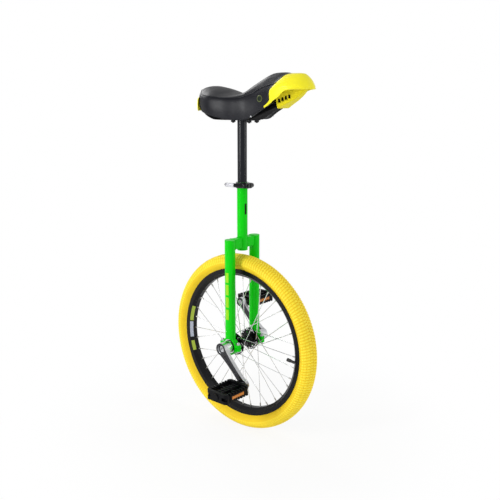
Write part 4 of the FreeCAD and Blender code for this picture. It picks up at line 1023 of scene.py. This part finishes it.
@dataclass
class Saddle:
    """The padded saddle, its nose cap and tail band, and the tray underneath.

    Sizes are in mm, and heights are over the top of the seat post.
    """

    # The cushion, as far forward as its joint with the nose cap.
    joint: float = 131.0
    pitch: float = 5.0
    swell: float = 4.0
    held_within: float = 0.1
    bulge: Line = Line(((0, 3.5), (0.2, 1.8), (0.45, 0.6), (0.75, 1.8), (1, 6.2)))
    under: Line = Line(((-126, -70), (-53, -40), (0, 10), (60, 66), (124, 128)))
    under_shares: tuple[float, ...] = (0, 0.25, 0.5, 0.75)
    under_lift: float = 6.0
    hem: tuple[Pair, ...] = ((8.0, 5.5), (5.6, 0.6))
    lid_steps: int = 10
    welt: float = 0.7
    welt_lift: float = 0.4
    stitch: Point = (1.3, 0.3, 0.3)
    stitch_pitch: float = 4.2
    stitch_lift: float = 0.1
    # The badges and screws, each at the place of the cover nearest to a point.
    badge: Point = (99, 50, 56)
    badge_radius: float = 8.5
    badge_middle_radius: float = 6.0
    badge_middle_lift: float = 0.4
    screw: Point = (70, 46, 11)
    screw_radius: float = 2.2
    disc_sides: int = 32
    disc_height: float = 1.2
    disc_profile: tuple[Pair, ...] = (
        (0.02, -1.5), (1.0, -1.5), (1.0, 0.55), (0.93, 0.95), (0.84, 1.0), (0.76, 0.62), (0.5, 0.62),
        (0.02, 0.7))
    # The nose cap and the tongues at its foot.
    joint_gap: float = 1.0
    proud: float = 2.0
    tip: float = 5.0
    tip_start: float = 165.0
    cap_wall: float = 3.2
    cap_pitch: float = 3.6
    cap_bulge: Line = Line(((0, -0.2), (0.12, 1.6), (0.45, 0.3), (0.7, 1.6), (1, 7.0)))
    foot_top: Line = Line(((114, 38.5), (124, 45), (132, 53), (139, 62)))
    foot_drop: float = 1.5
    foot_least: float = 1.0
    foot_profile: tuple[Pair, ...] = ((2.0, 0), (0.2, 0.3), (-0.3, 0.7), (0.6, 1))
    foot_wall: float = 1.5
    foot_steps: int = 11
    # The web under the cap and its slots.
    keel_bottom: Line = Line(((139, 32), (156, 41), (180, 53), (195, 63), (208, 74), (217, 80)))
    keel_half: Line = Line(((139, 25), (160, 20), (180, 15), (205, 8), (217, 3)))
    keel_section: tuple[Pair, ...] = ((-4, 0), (-1.5, 1), (1, 6))
    keel_flare: float = 7.0
    keel_rise: float = 12.0
    keel_top: float = 96.0
    keel_steps: int = 19
    slots: int = 4
    slot_start: Point = (147, 0, 51)
    slot_step: Point = (8.5, 0, 3.4)
    slot_size: Point = (4.4, 58, 9)
    slot_narrowing: float = 0.09
    # The tail band.
    band_end: float = -94.0
    band_profile: tuple[Pair, ...] = (
        (0.6, 24), (-2.4, 22.5), (-3.7, 27), (-4.1, 36), (-3.8, 48), (-2.6, 57.5), (0.8, 59.5))
    band_wall: float = 1.6
    band_steps: int = 14
    # The tray.
    tray_plan: Outline = Outline((
        (-112, 0), (-111, 14), (-104, 36), (-90, 54), (-62, 70), (-38, 73), (-8, 64), (24, 49), (55, 33),
        (80, 25), (105, 20), (128, 17), (138, 13), (140.4, 6), (141, 0)))
    tray_low: Line = Line((
        (-112, 24), (-75, 14), (-32, 2.4), (0, 1.6), (46, 1.6), (62, 8), (85, 18), (97, 23.5), (121, 33),
        (141, 41)))
    tray_high: Line = Line((
        (-112, 33), (-75, 23), (-32, 14), (44, 11), (60, 16), (82, 26), (101, 35), (124, 46), (141, 54)))
    tray_middle: Line = Line(((-112, -60), (-38, -30), (24, 24), (105, 80), (141, 110)))
    tray_floor: tuple[float, ...] = (0.2, 0.45, 0.7, 1)
    tray_wall: float = 3.5
    tray_steps: int = 70

    def build(self) -> None:
        """Make every piece of the saddle."""
        self.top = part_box("seat_post")[1][2]
        self._cushion()
        self._nose_cap()
        self._foot()
        self._keel()
        self._slots()
        self._tail_band()
        self._tray()

    def _place(self, point: Sequence[float], side: int = 1) -> Vector:
        """A point of the saddle in the object's frame; side -1 is the rider's right."""
        x, y, z = point
        return Vector((x * MM, side * y * MM, self.top + z * MM))

    def _lid(self, row: Sequence[Vector]) -> list[list[Vector]]:
        """Lines of points from a row straight across to its mirror image."""
        return [[self._place(point).lerp(self._place(point, -1), share)
                 for share in spaced(0, 1, self.lid_steps)] for point in row]

    def _skin(self, rows: Rows, lids: Rows = ()) -> Mesh:
        """Both halves of a surface.

        Args:
            rows: One half's rows, in mm.
            lids: Rows that are joined straight across to their mirror images.

        Returns:
            The mesh.
        """
        halves = [[[self._place(point, side) for point in row] for row in rows] for _, side in SIDES]
        points, faces = [], []
        for part in halves + [self._lid(row) for row in lids]:
            faces += loft(part, base=len(points))
            points += [point for row in part for point in row]
        return mesh_of(points, faces)

    def _cushion_rows(self, skin: Skin) -> list[list[Vector]]:
        """The cover's rows, from its underside round the hem and over its skin.

        Args:
            skin: The surface over the hem.

        Returns:
            The rows, in mm.
        """
        last = PLAN.distance_to(self.joint)
        rows = []
        for distance in spaced(0, last, round(last / self.pitch)):
            at, out = PLAN.at(distance)
            low = EDGE(at.x)
            fold = [inside(at, out, depth, low + height) for depth, height in self.hem]
            target = Vector((self.under(at.x), 0, low + self.under_lift))
            below = [target.lerp(fold[0], share) for share in self.under_shares]
            rows.append(below + fold + skin.row(distance))
        return rows

    def _held(self, rows: Rows, hem: int, seam: int) -> KDTree:
        """The points of the cover that stay put when it is blown up.

        Args:
            rows: Its rows.
            hem: How many of each row's first points belong to the hem.
            seam: The number of each row's point on the seam.

        Returns:
            The points, for searching.
        """
        points = [self._place(row[number], side) for row in rows for _, side in SIDES
                  for number in (*range(hem), seam)]
        points += [point for line in self._lid(rows[-1]) for point in line]
        tree = KDTree(len(points))
        for number, point in enumerate(points):
            tree.insert(point, number)
        tree.balance()
        return tree

    def _cushion(self) -> None:
        """The padded cover, with its seam, badges, screws and stitches."""
        skin = Skin(PLAN, self.bulge)
        rows = self._cushion_rows(skin)
        below = len(self.under_shares) + len(self.hem)
        seam = below + skin.seam
        held, near = self._held(rows, below + 2, seam), self.held_within * MM
        mesh = self._skin(rows, lids=[rows[-1]])
        mesh = smoothed(inflated(mesh, lambda place: held.find(place)[2] < near, self.swell * MM))
        cushion = finished("saddle_cushion_cover", mesh, COVER, "seat", "saddle_cushion")
        lines = self._lines(mesh, rows, seam, self.welt_lift)
        finished("saddle_welt", tube_along(lines, self.welt * MM), COVER, "seat")
        for name, side in SIDES:
            place, out = nearest_on(mesh, [self._place(self.badge, side)])[0]
            finished(f"saddle_badge_{name}", self._disc(place, out, self.badge_radius), BADGE, "seat")
            place += out * self.badge_middle_lift * MM
            middle = self._disc(place, out, self.badge_middle_radius)
            finished(f"saddle_badge_middle_{name}", middle, BADGE_MIDDLE, "seat")
            place, out = nearest_on(mesh, [self._place(self.screw, side)])[0]
            finished(f"saddle_screw_{name}", self._disc(place, out, self.screw_radius), ZINC, "seat")
        lines = self._lines(mesh, rows, seam - 2, self.stitch_lift)
        stitches = strewn_along(lines, self.stitch_pitch * MM, tuple(size * MM for size in self.stitch))
        finished("saddle_stitches", stitches, COVER, "seat")

    def _lines(self, mesh: Mesh, rows: Rows, number: int, lift: float) -> list[list[Vector]]:
        """Lines along the cover's two sides.

        Args:
            mesh: The cover.
            rows: The rows that it was made from.
            number: The number of the row's point that the lines follow.
            lift: How far off the cover they lie, in mm.

        Returns:
            The lines.
        """
        return [laid_on(mesh, [self._place(row[number], side) for row in rows], lift * MM)
                for _, side in SIDES]

    def _disc(self, place: Vector, out: Vector, radius: float) -> Mesh:
        """A small round disc with a raised ring, set on a surface.

        Args:
            place: The middle of its foot.
            out: The direction that it faces.
            radius: Its radius in mm.

        Returns:
            The mesh.
        """
        turn = out.to_track_quat("Z", "Y")
        rows = []
        for share, lift in self.disc_profile:
            reach, height = radius * share, self.disc_height * lift
            rows.append([place + turn @ (Vector((cosine * reach, sine * reach, height)) * MM)
                         for cosine, sine in ring_of(self.disc_sides)])
        return surface(rows)

    def _nose_cap(self) -> None:
        """The moulded cap over the nose."""
        span = PLAN.knots[-1][0] - self.tip_start
        wide = Outline(tuple(
            (x + self.tip * max((x - self.tip_start) / span, 0) ** 1.5, y + self.proud * (y > 0))
            for x, y in PLAN.knots))
        skin = Skin(wide, self.cap_bulge, top_steps=12)
        first, last = wide.distance_to(self.joint + self.joint_gap), wide.length()
        steps = round((last - first) / self.cap_pitch)
        rows = [skin.row(distance) for distance in spaced(first, last, steps)]
        mesh = thicken(self._skin(rows), self.cap_wall * MM)
        finished("nose_cap", smoothed(mesh), LEMON, "seat", "front_bumper")

    def _foot(self) -> None:
        """The thin tongues of the cap that run back under the cushion's edge."""
        first, last = map(PLAN.distance_to, self.foot_top.span)
        tongues = []
        for _, side in SIDES:
            rows = []
            for distance in spaced(first, last, self.foot_steps):
                at, out = PLAN.at(distance)
                edge = EDGE(at.x)
                low, high = edge - self.foot_drop, max(self.foot_top(at.x), edge + self.foot_least)
                rows.append([self._place(inside(at, out, depth, low + (high - low) * share), side)
                             for depth, share in self.foot_profile])
            skin = surface(rows, closed=False, capped=False, smooth=True)
            tongues.append(thicken(skin, self.foot_wall * MM))
        finished("nose_foot", join_meshes(*tongues), LEMON, "seat")

    def _keel(self) -> None:
        """The web under the cap, in the darker yellow of painted shade."""
        rows = []
        for x in spaced(*self.keel_bottom.span, self.keel_steps):
            low, wide = self.keel_bottom(x), self.keel_half(x)
            half = [(wide + across, low + rise) for across, rise in self.keel_section]
            half.append((wide + self.keel_flare, min(EDGE(x) + self.keel_rise, self.keel_top)))
            rows.append([self._place((x, y, z)) for y, z in [(-y, z) for y, z in reversed(half)] + half])
        finished("nose_keel", surface(rows), SHADED_LEMON, "seat")

    def _slots(self) -> None:
        """The row of slots in the web's sides, as dark boxes of the tray's plastic: painted shade inside the
        slots.
        """
        bench = GeometryBench()
        line = bench.node("GeometryNodeMeshLine", {"mode": "OFFSET"}, {
            "Count": bench.size("Slots", self.slots),
            "Start Location": bench.size("First", tuple(self._place(self.slot_start))),
            "Offset": bench.size("Step", tuple(step * MM for step in self.slot_step))})
        narrower = 1 - bench.value("GeometryNodeInputIndex") * bench.size("Narrowing", self.slot_narrowing)
        shape = bench.value("ShaderNodeCombineXYZ", {}, {0: 1.0, 1: narrower, 2: 1.0})
        slot = bench.node("GeometryNodeMeshCube", {}, {
            "Size": bench.size("Slot", tuple(size * MM for size in self.slot_size))})
        slots = bench.node("GeometryNodeInstanceOnPoints", {}, {
            "Points": line.outputs[0], "Instance": slot.outputs[0], "Scale": shape})
        mesh = bench.bake(bpy.data.meshes.new("nothing"), slots, smooth=False)
        # The boxes' near-black plastic is painted shade where the slots are.
        finished("nose_slot_shade_boxes", mesh, BASE, "seat")

    def _tail_band(self) -> None:
        """The band round the tail."""
        end = PLAN.distance_to(self.band_end)
        rows = [[inside(*PLAN.at(distance), depth, height) for depth, height in self.band_profile]
                for distance in spaced(0, end, self.band_steps)]
        mesh = thicken(self._skin(rows), self.band_wall * MM)
        finished("tail_band", smoothed(mesh), LEMON, "seat", "rear_bumper")

    def _tray(self) -> None:
        """The moulded tray under the cushion."""
        rows = []
        for distance in spaced(0, self.tray_plan.length(), self.tray_steps):
            at, out = self.tray_plan.at(distance)
            foot, rim, middle = self.tray_low(at.x), self.tray_high(at.x), self.tray_middle(at.x)
            wall = [inside(at, out, depth, height) for depth, height in (
                (0, rim), (0.2, (rim + foot) / 2 + 1), (0.8, foot + 3.5), (2.2, foot + 1), (4.5, foot))]
            target = Vector((middle, 0, self.tray_low(middle)))
            floor = [wall[-1].lerp(target, share) for share in self.tray_floor]
            for point in floor:
                point.z = self.tray_low(point.x)
            rows.append(wall + floor)
        mesh = thicken(self._skin(rows), self.tray_wall * MM)
        finished("saddle_tray", mesh, BASE, "seat", "saddle_base")


# ---- wheel --------------------------------------------------------------------------------

CASING = Outline(((0, 250.3), (5, 250.0), (11, 248.6), (16.5, 245.8), (21.3, 241.2), (24.5, 235.3),
                  (25.3, 230), (23.8, 224.5), (19.5, 218.6), (15.5, 214.6), (13.5, 212.4), (13.3, 207.5)))


@dataclass
class Wheel:
    """The tyre casing, its ribbed tread and the plain bars on the rim.

    The casing's and the ribs' sizes are in mm, those of the bars of film in metres and degrees.
    """

    # The casing; the two gaps keep its points just off the crown.
    casing_wall: float = 1.5
    casing_steps: int = 26
    casing_turns: int = 144
    beside_crown: float = 0.02
    crown_gap: float = 0.05
    # The ribs: how many pitches go round, and each lane's start, end, phase and height.
    steps: int = 192
    lanes: tuple[tuple[float, float, float, float], ...] = (
        (-3.6, 3.6, 0.5, 1.3), (4.6, 13.0, 0.0, 1.25), (13.8, 23.0, 0.0, 1.1), (23.8, 32.0, 0.0, 0.8),
        (32.8, 38.0, 0.0, 0.4))
    rib_half: float = 2.85
    rib_top: float = 0.72
    rib_root: float = 0.6
    rib_steps: int = 3
    slant: float = 0.14
    # The bars of film: their ends round the rim, and their edges from the rim's corner.
    bars: tuple[tuple[float, float, Finish], ...] = (
        (159.5, 173.5, LIME_BAR), (174.5, 188.5, SILVER_BAR), (192.0, 200.5, LIME_BAR))
    bar_foot: Pair = (0.0080, 0.0204)
    bar_head: Pair = (0.0012, 0.0132)
    bar_sunk: float = 0.0002
    bar_proud: float = 0.0003
    bar_steps: int = 24

    def build(self) -> None:
        """Make every piece of the wheel."""
        self.centre = middle_of("rim")
        self._casing()
        self._tread()
        for name, side in SIDES:
            for number, (start, end, finish) in enumerate(self.bars, start=1):
                finished(f"{name}_rim_bar_{number}", self._bar(side, start, end), finish, "wheel")

    def _casing(self) -> None:
        """The smooth casing under the tread, in the deeper yellow of painted groove shade."""
        outer = [CASING.at(max(distance, self.beside_crown))
                 for distance in spaced(0, CASING.length(), self.casing_steps)]
        inner = [at - out * self.casing_wall for at, out in reversed(outer)]
        half = [(place.x * MM, place.y * MM) for place in [at for at, _ in outer] + inner
                if place.x > self.crown_gap]
        radius = CASING.knots[0][1]
        crown, under = (0.0, radius * MM), (0.0, (radius - self.casing_wall) * MM)
        profile = [crown] + half + [under] + [(-across, reach) for across, reach in reversed(half)]
        mesh = lathe(profile, self.centre, self.casing_turns)
        finished("tyre_casing", mesh, TYRE, "wheel", "tyre")

    def _rib(self, start: float, end: float, phase: float, height: float) -> Mesh:
        """One rib of the tread, at the front of the wheel.

        Args:
            start: Where it begins, as a distance from the crown round the casing, in mm.
            end: Where it ends.
            phase: How far round it stands, in pitches.
            height: How far it stands off the casing, in mm.

        Returns:
            Its mesh, about the wheel's centre.
        """
        middle = phase * math.tau / self.steps
        half, top = self.rib_half, self.rib_half * self.rib_top
        rows = []
        for arc in spaced(start, end, self.rib_steps):
            at, out = CASING.at(max(abs(arc), self.beside_crown))
            flip = -1 if arc < 0 else 1
            row = []
            for around, lift in ((-half, -self.rib_root), (-top, height), (top, height),
                                 (half, -self.rib_root)):
                across, radius = at + out * lift
                angle = middle + (around + arc * self.slant) / radius
                place = Vector((radius * math.cos(angle), flip * across, radius * math.sin(angle)))
                row.append(place * MM)
            rows.append(row)
        return surface(rows)

    def _tread(self) -> None:
        """Rows of ribs all the way round."""
        ribs = [self._rib(side * start, side * end, phase, height) for start, end, phase, height in self.lanes
                for side in ((1, -1) if start > 0 else (1,))]
        bench = GeometryBench()
        ring = bench.node("GeometryNodeMeshLine", {"mode": "OFFSET"}, {
            "Count": bench.size("Pitches", self.steps),
            "Start Location": bench.size("Centre", tuple(self.centre)), "Offset": (0.0, 0.0, 0.0)})
        angle = bench.value("GeometryNodeInputIndex") * bench.size("Turn", math.tau / self.steps)
        turn = bench.value("FunctionNodeEulerToRotation", {}, {
            0: bench.value("ShaderNodeCombineXYZ", {}, {1: angle})})
        all_round = bench.node("GeometryNodeInstanceOnPoints", {}, {
            "Points": ring.outputs[0], "Instance": bench.start.outputs[0], "Rotation": turn})
        mesh = bench.bake(join_meshes(*ribs), all_round, smooth=False)
        finished("tyre_tread", mesh, TREAD, "wheel")

    def _bar(self, side: int, start: float, end: float) -> Mesh:
        """A plain bar of film on the slope of the rim.

        Args:
            side: Which side of the wheel.
            start: Where it begins round the rim, in degrees.
            end: Where it ends.

        Returns:
            The mesh.
        """
        low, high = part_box("rim")
        corner = Vector(((high[1] - low[1]) / 2, (high[0] - low[0]) / 2))
        foot, head = corner - Vector(self.bar_foot), corner - Vector(self.bar_head)
        slope = (head - foot).normalized()
        off = Vector((slope.y, -slope.x))
        section = [foot - off * self.bar_sunk, foot + off * self.bar_proud,
                   head + off * self.bar_proud, head - off * self.bar_sunk]
        rows = []
        for angle in spaced(math.radians(start), math.radians(end), self.bar_steps):
            rows.append([self.centre + Vector((place.y * math.cos(angle), side * place.x,
                                               place.y * math.sin(angle))) for place in section])
        return surface(rows)


# ---- seat clamp and frame -----------------------------------------------------------------

@dataclass(frozen=True)
class LeverAlloy(Finish):
    """Polished alloy with a painted dark reflection that stops short of the lever's tip."""

    # The colour of the painted dark reflection along the lever.
    face: Colour = (0.012, 0.012, 0.014)
    painted_reflection_from: float = -0.011
    fade: float = 0.0015

    def _colour(self, bench: Bench, place: Value, tone: Value) -> Value:
        """Plain alloy at the tip, then the painted dark reflection as far as the cam.

        Args:
            bench: The tree.
            place: The coordinates.
            tone: A slow variation from 0 to 1.

        Returns:
            The colour.
        """
        along = bench.value("ShaderNodeSeparateXYZ", {}, {0: place}, "X")
        mask = along.ramp(self.painted_reflection_from - self.fade, self.painted_reflection_from + self.fade)
        return bench.mix(mask, self._shades(bench, tone), (*self.face, 1))


LEVER = LeverAlloy("lever_alloy", (0.62, 0.62, 0.66), 0.2, 1.0, coat=0.3, grain=Grain.BRUSHED, depth=0.01)


@dataclass
class Clamp:
    """The cam lever of the seat clamp, with its sizes in mm."""

    thickness: float = 3.6
    tip_height: float = 11.0
    tip_thickness: float = 0.6
    tip_least: float = 0.02
    steps: int = 30
    sides: int = 12
    squareness: float = 0.55
    rounded: float = 0.08
    widening: float = 0.8
    tip_gap: float = 1.0
    tip_path: tuple[Pair, ...] = ((0, -9.8), (8, -9.0), (24, -6.6), (42, -4.4))
    root_path: tuple[Pair, ...] = ((-7, -4.0), (0, -4.6), (4.5, -3.4))
    pivot_inset: float = 7.0
    cam_sides: int = 28
    cam_profile: tuple[Pair, ...] = (
        (0.02, -0.5), (5.6, -0.5), (6.5, -0.43), (6.9, -0.34), (6.9, 0.34), (6.5, 0.43), (5.6, 0.5),
        (0.02, 0.5))

    def build(self) -> None:
        """Make the lever: a rounded paddle that hugs the collar, on a cam."""
        low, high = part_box("clamp_lever")
        inset = self.pivot_inset * MM
        pivot = Vector((high[0] - inset, high[1] - inset, (low[2] + high[2]) / 2))
        tall = (high[2] - low[2]) / MM
        arm = self._arm(pivot, tall, (pivot.x - low[0]) / MM - self.tip_gap)
        mesh = join_meshes(arm, self._cam(pivot, tall))
        finished("clamp_lever_arm", mesh, LEVER, "clamp_lever_arm", "clamp_lever")

    def _arm(self, pivot: Vector, tall: float, reach: float) -> Mesh:
        """The paddle, from its rounded tip to the cam.

        Args:
            pivot: The middle of the cam.
            tall: The arm's height at the cam.
            reach: Its length.

        Returns:
            The mesh.
        """
        path = Outline(tuple((x - reach, y) for x, y in self.tip_path) + self.root_path)
        rows = []
        for share in spaced(0, 1, self.steps):
            at, out = path.at(path.length() * share)
            height = self.tip_height + (tall - self.tip_height) * min(share / self.widening, 1)
            before = max(1 - share / self.rounded, 0)
            end = math.sqrt(max(1 - before ** 2, self.tip_least))
            rise = height / 2 * end
            half = self.thickness / 2 * (self.tip_thickness + (1 - self.tip_thickness) * end)
            row = []
            for pair in ring_of(self.sides):
                side, up = (math.copysign(abs(part) ** self.squareness, part) for part in pair)
                plan = at + out * side * half
                row.append(pivot + Vector((plan.x, plan.y, up * rise)) * MM)
            rows.append(row)
        return surface(rows, smooth=True)

    def _cam(self, pivot: Vector, tall: float) -> Mesh:
        """The round cam that the arm grows from, with eased edges.

        Args:
            pivot: Its middle.
            tall: Its height.

        Returns:
            The mesh.
        """
        rows = [[pivot + Vector((radius * cosine, radius * sine, height * tall)) * MM
                 for cosine, sine in ring_of(self.cam_sides)] for radius, height in self.cam_profile]
        return surface(rows, smooth=True)


@dataclass
class Frame:
    """Weld beads where the crown bars meet the tubes, and plain bars of film on the paint.

    Sizes are in metres and degrees.
    """

    tube: float = 0.0143
    weld_gap: float = 0.0002
    weld_pitch: float = 0.0016
    weld_half_size: Point = (0.0014, 0.0015, 0.0015)
    film_sunk: float = 0.0002
    film_proud: float = 0.00025
    leg_bars: tuple[Pair, ...] = ((0.331, 0.360), (0.366, 0.395), (0.401, 0.430), (0.436, 0.463))
    leg_facing: float = 86.0
    leg_half: float = 20.0
    tube_bar: Pair = (0.617, 0.646)
    tube_facing: float = -9.0
    tube_half: float = 12.0
    steps: int = 12

    def build(self) -> None:
        """Make the weld beads of both crown bars and the bars of film."""
        for name, side in SIDES:
            low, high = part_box(f"{name}_crown_bar")
            leg = middle_of(f"{name}_fork_leg").y
            places = self._round(high[0] + self.weld_gap, low[2], high[2])
            lines = []
            for centre, way in ((0.0, side), (leg, -side)):
                lines.append([Vector((x, centre + way * self._depth(x), z)) for x, z in places])
            beads = strewn_along(lines, self.weld_pitch, self.weld_half_size)
            finished(f"{name}_crown_welds", beads, GREEN, "frame")
            films = [self._film(leg, side * self.leg_facing, self.leg_half, bar) for bar in self.leg_bars]
            finished(f"{name}_leg_bars", join_meshes(*films), BRIGHT_BAR, "frame")
        film = self._film(0.0, self.tube_facing, self.tube_half, self.tube_bar)
        finished("tube_bar", film, BLACK_BAR, "frame")

    def _depth(self, x: float) -> float:
        """How far the surface of a tube lies from its axis, seen from the side."""
        return math.sqrt(max((self.tube + self.weld_gap) ** 2 - x ** 2, 0.0))

    def _film(self, across: float, facing: float, half: float, heights: Pair) -> Mesh:
        """A plain bar of film wrapped on an upright tube.

        Args:
            across: Where the tube's axis stands on Y.
            facing: The angle from +X that the film faces, in degrees.
            half: Half the angle that it covers.
            heights: Its lower and upper edge in metres.

        Returns:
            The mesh.
        """
        inner, outer = self.tube - self.film_sunk, self.tube + self.film_proud
        low, high = heights
        rows = []
        for angle in spaced(math.radians(facing - half), math.radians(facing + half), self.steps):
            rows.append([Vector((radius * math.cos(angle), across + radius * math.sin(angle), z))
                         for radius, z in ((inner, low), (outer, low), (outer, high), (inner, high))])
        return surface(rows)

    def _round(self, half: float, low: float, high: float) -> list[Pair]:
        """Places round a bar's end, from corner to corner.

        Args:
            half: Half the bar's width.
            low: The height of its lower edge.
            high: The height of its upper edge.

        Returns:
            The places, as (along, height).
        """
        corners = [(-half, low), (half, low), (half, high), (-half, high), (-half, low)]
        places = []
        for (x0, z0), (x1, z1) in zip(corners, corners[1:]):
            places += list(zip(spaced(x0, x1, self.steps), spaced(z0, z1, self.steps)))[:-1]
        return places + [corners[0]]


# ---- pedals -------------------------------------------------------------------------------

@dataclass
class Pedals:
    """The moulded bezels that hold the reflectors in the pedals, with their sizes in mm."""

    rim: float = 1.6
    lip: float = 2.2
    end: float = 5.5
    section: tuple[Pair, ...] = ((-1, -0.9), (-1, 0.35), (-0.75, 0.6), (0.75, 0.6), (1, 0.35), (1, 0.05))
    bars: int = 5
    bar_half: float = 0.9
    bar_length: float = 1.6
    bar_overlap: float = 0.4
    bar_inset: float = 0.05

    def build(self) -> None:
        """Make the bezels of both pedals."""
        for side, _ in SIDES:
            low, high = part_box(f"{side}_pedal_reflectors")
            meshes = [self._bezel(low, high, face, outward) for face, outward in ((low[0], -1), (high[0], 1))]
            finished(f"{side}_pedal_bezels", join_meshes(*meshes), PEDAL, f"{side}_pedal")

    def _bezel(self, low: Sequence[float], high: Sequence[float], face: float, outward: int) -> Mesh:
        """A frame with short upright bars over one reflector.

        Args:
            low: The low corner of both reflectors' box.
            high: The high corner.
            face: Where the reflector's outer face lies.
            outward: Which way it faces along X.

        Returns:
            The mesh.
        """
        rows = []
        for inward, depth in self.section:
            side, top = (-self.rim, -self.rim) if inward < 0 else (self.end, self.lip)
            side, top = side * abs(inward) * MM, top * abs(inward) * MM
            x = face + outward * depth * MM
            rows.append([Vector((x, y, z)) for y, z in (
                (low[1] + side, low[2] + top), (high[1] - side, low[2] + top),
                (high[1] - side, high[2] - top), (low[1] + side, high[2] - top))])
        frame_mesh = surface(rows, wrapped=True, capped=False)
        reach = (self.lip + self.bar_length) * MM
        root = self.lip * (1 - self.bar_overlap) * MM
        first, last = low[1] + self.end * MM, high[1] - self.end * MM
        proud = max(depth for _, depth in self.section)
        depths = [face + outward * depth * MM for depth in (self.bar_inset, proud - self.bar_inset)]
        bars = []
        for number in range(self.bars):
            middle = first + (last - first) * (number + 1) / (self.bars + 1)
            left, right = middle - self.bar_half * MM, middle + self.bar_half * MM
            for foot, head in ((low[2] + root, low[2] + reach), (high[2] - reach, high[2] - root)):
                around = ((left, foot), (right, foot), (right, head), (left, head))
                bars.append(surface([[Vector((x, y, z)) for y, z in around] for x in depths]))
        return join_meshes(frame_mesh, *bars)


# ---- studio -------------------------------------------------------------------------------

@dataclass
class Studio:
    """A white floor, soft lamps and the camera."""

    eye: Point = (1.2511, -1.3945, 0.9349)
    azimuth: float = 41.26
    dip: float = 12.61
    lens: float = 50.31
    floor_half: float = 6.0
    floor_glow: float = 0.86
    floor_fade: Pair = (0.3, 0.7)
    sky: float = 0.62
    aim: Point = (0, 0, 0.5)
    lamps: tuple[tuple[str, Point, Pair, float], ...] = (
        ("key", (-0.6, -2.7, 1.35), (0.6, 1.8), 46), ("fill", (2.5, 1.3, 1.3), (0.4, 1.8), 18),
        ("back", (-2.4, 0.7, 2.2), (1.2, 1.2), 20))

    def build(self) -> None:
        """Make the whole studio."""
        self._camera()
        self._world()
        self._floor()
        for name, place, size, power in self.lamps:
            self._lamp(name, place, size, power)
        bpy.context.scene.view_settings.view_transform = "Standard"

    def _camera(self) -> None:
        """The camera at the chosen viewing angle."""
        data = bpy.data.cameras.new("camera")
        data.sensor_width, data.lens = 36.0, self.lens
        camera = bpy.data.objects.new("camera", data)
        camera.location = self.eye
        camera.rotation_euler = (math.radians(90 - self.dip), 0, math.radians(self.azimuth))
        bpy.context.scene.collection.objects.link(camera)
        bpy.context.scene.camera = camera

    def _world(self) -> None:
        """Even pale light, and pure white where the camera sees past the floor."""
        world = bpy.data.worlds.new("studio_world")
        world.use_nodes = True
        bench = Bench(world.node_tree)
        path = bench.node("ShaderNodeLightPath")
        seen = Value(bench, path.outputs["Is Camera Ray"]) + path.outputs["Is Transmission Ray"]
        light = bench.node("ShaderNodeBackground", {}, {"Color": (1, 1, 1, 1), "Strength": self.sky})
        white = bench.node("ShaderNodeBackground", {}, {"Color": (1, 1, 1, 1), "Strength": 1.0})
        both = bench.node("ShaderNodeMixShader", {}, {0: seen, 1: light.outputs[0], 2: white.outputs[0]})
        bench.node("ShaderNodeOutputWorld", {}, {"Surface": both.outputs[0]})
        bpy.context.scene.world = world

    def _floor(self) -> None:
        """A white floor that keeps a soft shadow and fades to white."""
        half = self.floor_half
        corners = [Vector((x * half, y * half, -0.0005)) for x, y in ((-1, -1), (1, -1), (1, 1), (-1, 1))]
        floor = link_piece("studio_floor", mesh_of(corners, [(0, 1, 2, 3)], mend=False))
        material = bpy.data.materials.new("floor_white")
        material.use_nodes = True
        bench = Bench(material.node_tree)
        place = bench.value("ShaderNodeTexCoord", {}, {}, "Object")
        far = bench.value("ShaderNodeVectorMath", {"operation": "LENGTH"}, {0: place}, "Value")
        path = bench.node("ShaderNodeLightPath")
        seen = Value(bench, path.outputs["Is Camera Ray"])
        lit = bench.node("ShaderNodeBsdfDiffuse", {}, {"Color": (0.9, 0.9, 0.9, 1)})
        glow = bench.node("ShaderNodeEmission", {}, {"Color": (1, 1, 1, 1), "Strength": 1.0})
        share = seen * (self.floor_glow + far.ramp(*self.floor_fade) * (1 - self.floor_glow))
        both = bench.node("ShaderNodeMixShader", {}, {0: share, 1: lit.outputs[0], 2: glow.outputs[0]})
        bench.node("ShaderNodeOutputMaterial", {}, {"Surface": both.outputs[0]})
        floor.data.materials.append(material)

    def _lamp(self, name: str, place: Point, size: Pair, power: float) -> None:
        """A rectangular area lamp that the camera doesn't see.

        Args:
            name: The lamp's name.
            place: Where it stands; it faces the middle of the object.
            size: Its width and height.
            power: Its power in watts.
        """
        data = bpy.data.lights.new(name, "AREA")
        data.shape, data.energy = "RECTANGLE", power
        data.size, data.size_y = size
        lamp = bpy.data.objects.new(name, data)
        lamp.location = place
        aim = Vector(self.aim) - Vector(place)
        lamp.rotation_euler = aim.to_track_quat("-Z", "Y").to_euler()
        lamp.visible_camera = False
        bpy.context.scene.collection.objects.link(lamp)


def main() -> None:
    """Build the studio, dress the nodes and make the detailed pieces."""
    logging.basicConfig(level=logging.INFO, format="%(message)s")
    Studio().build()
    dress_nodes()
    Frame().build()
    Clamp().build()
    Wheel().build()
    Pedals().build()
    Saddle().build()


if __name__ == "__main__":
    main()
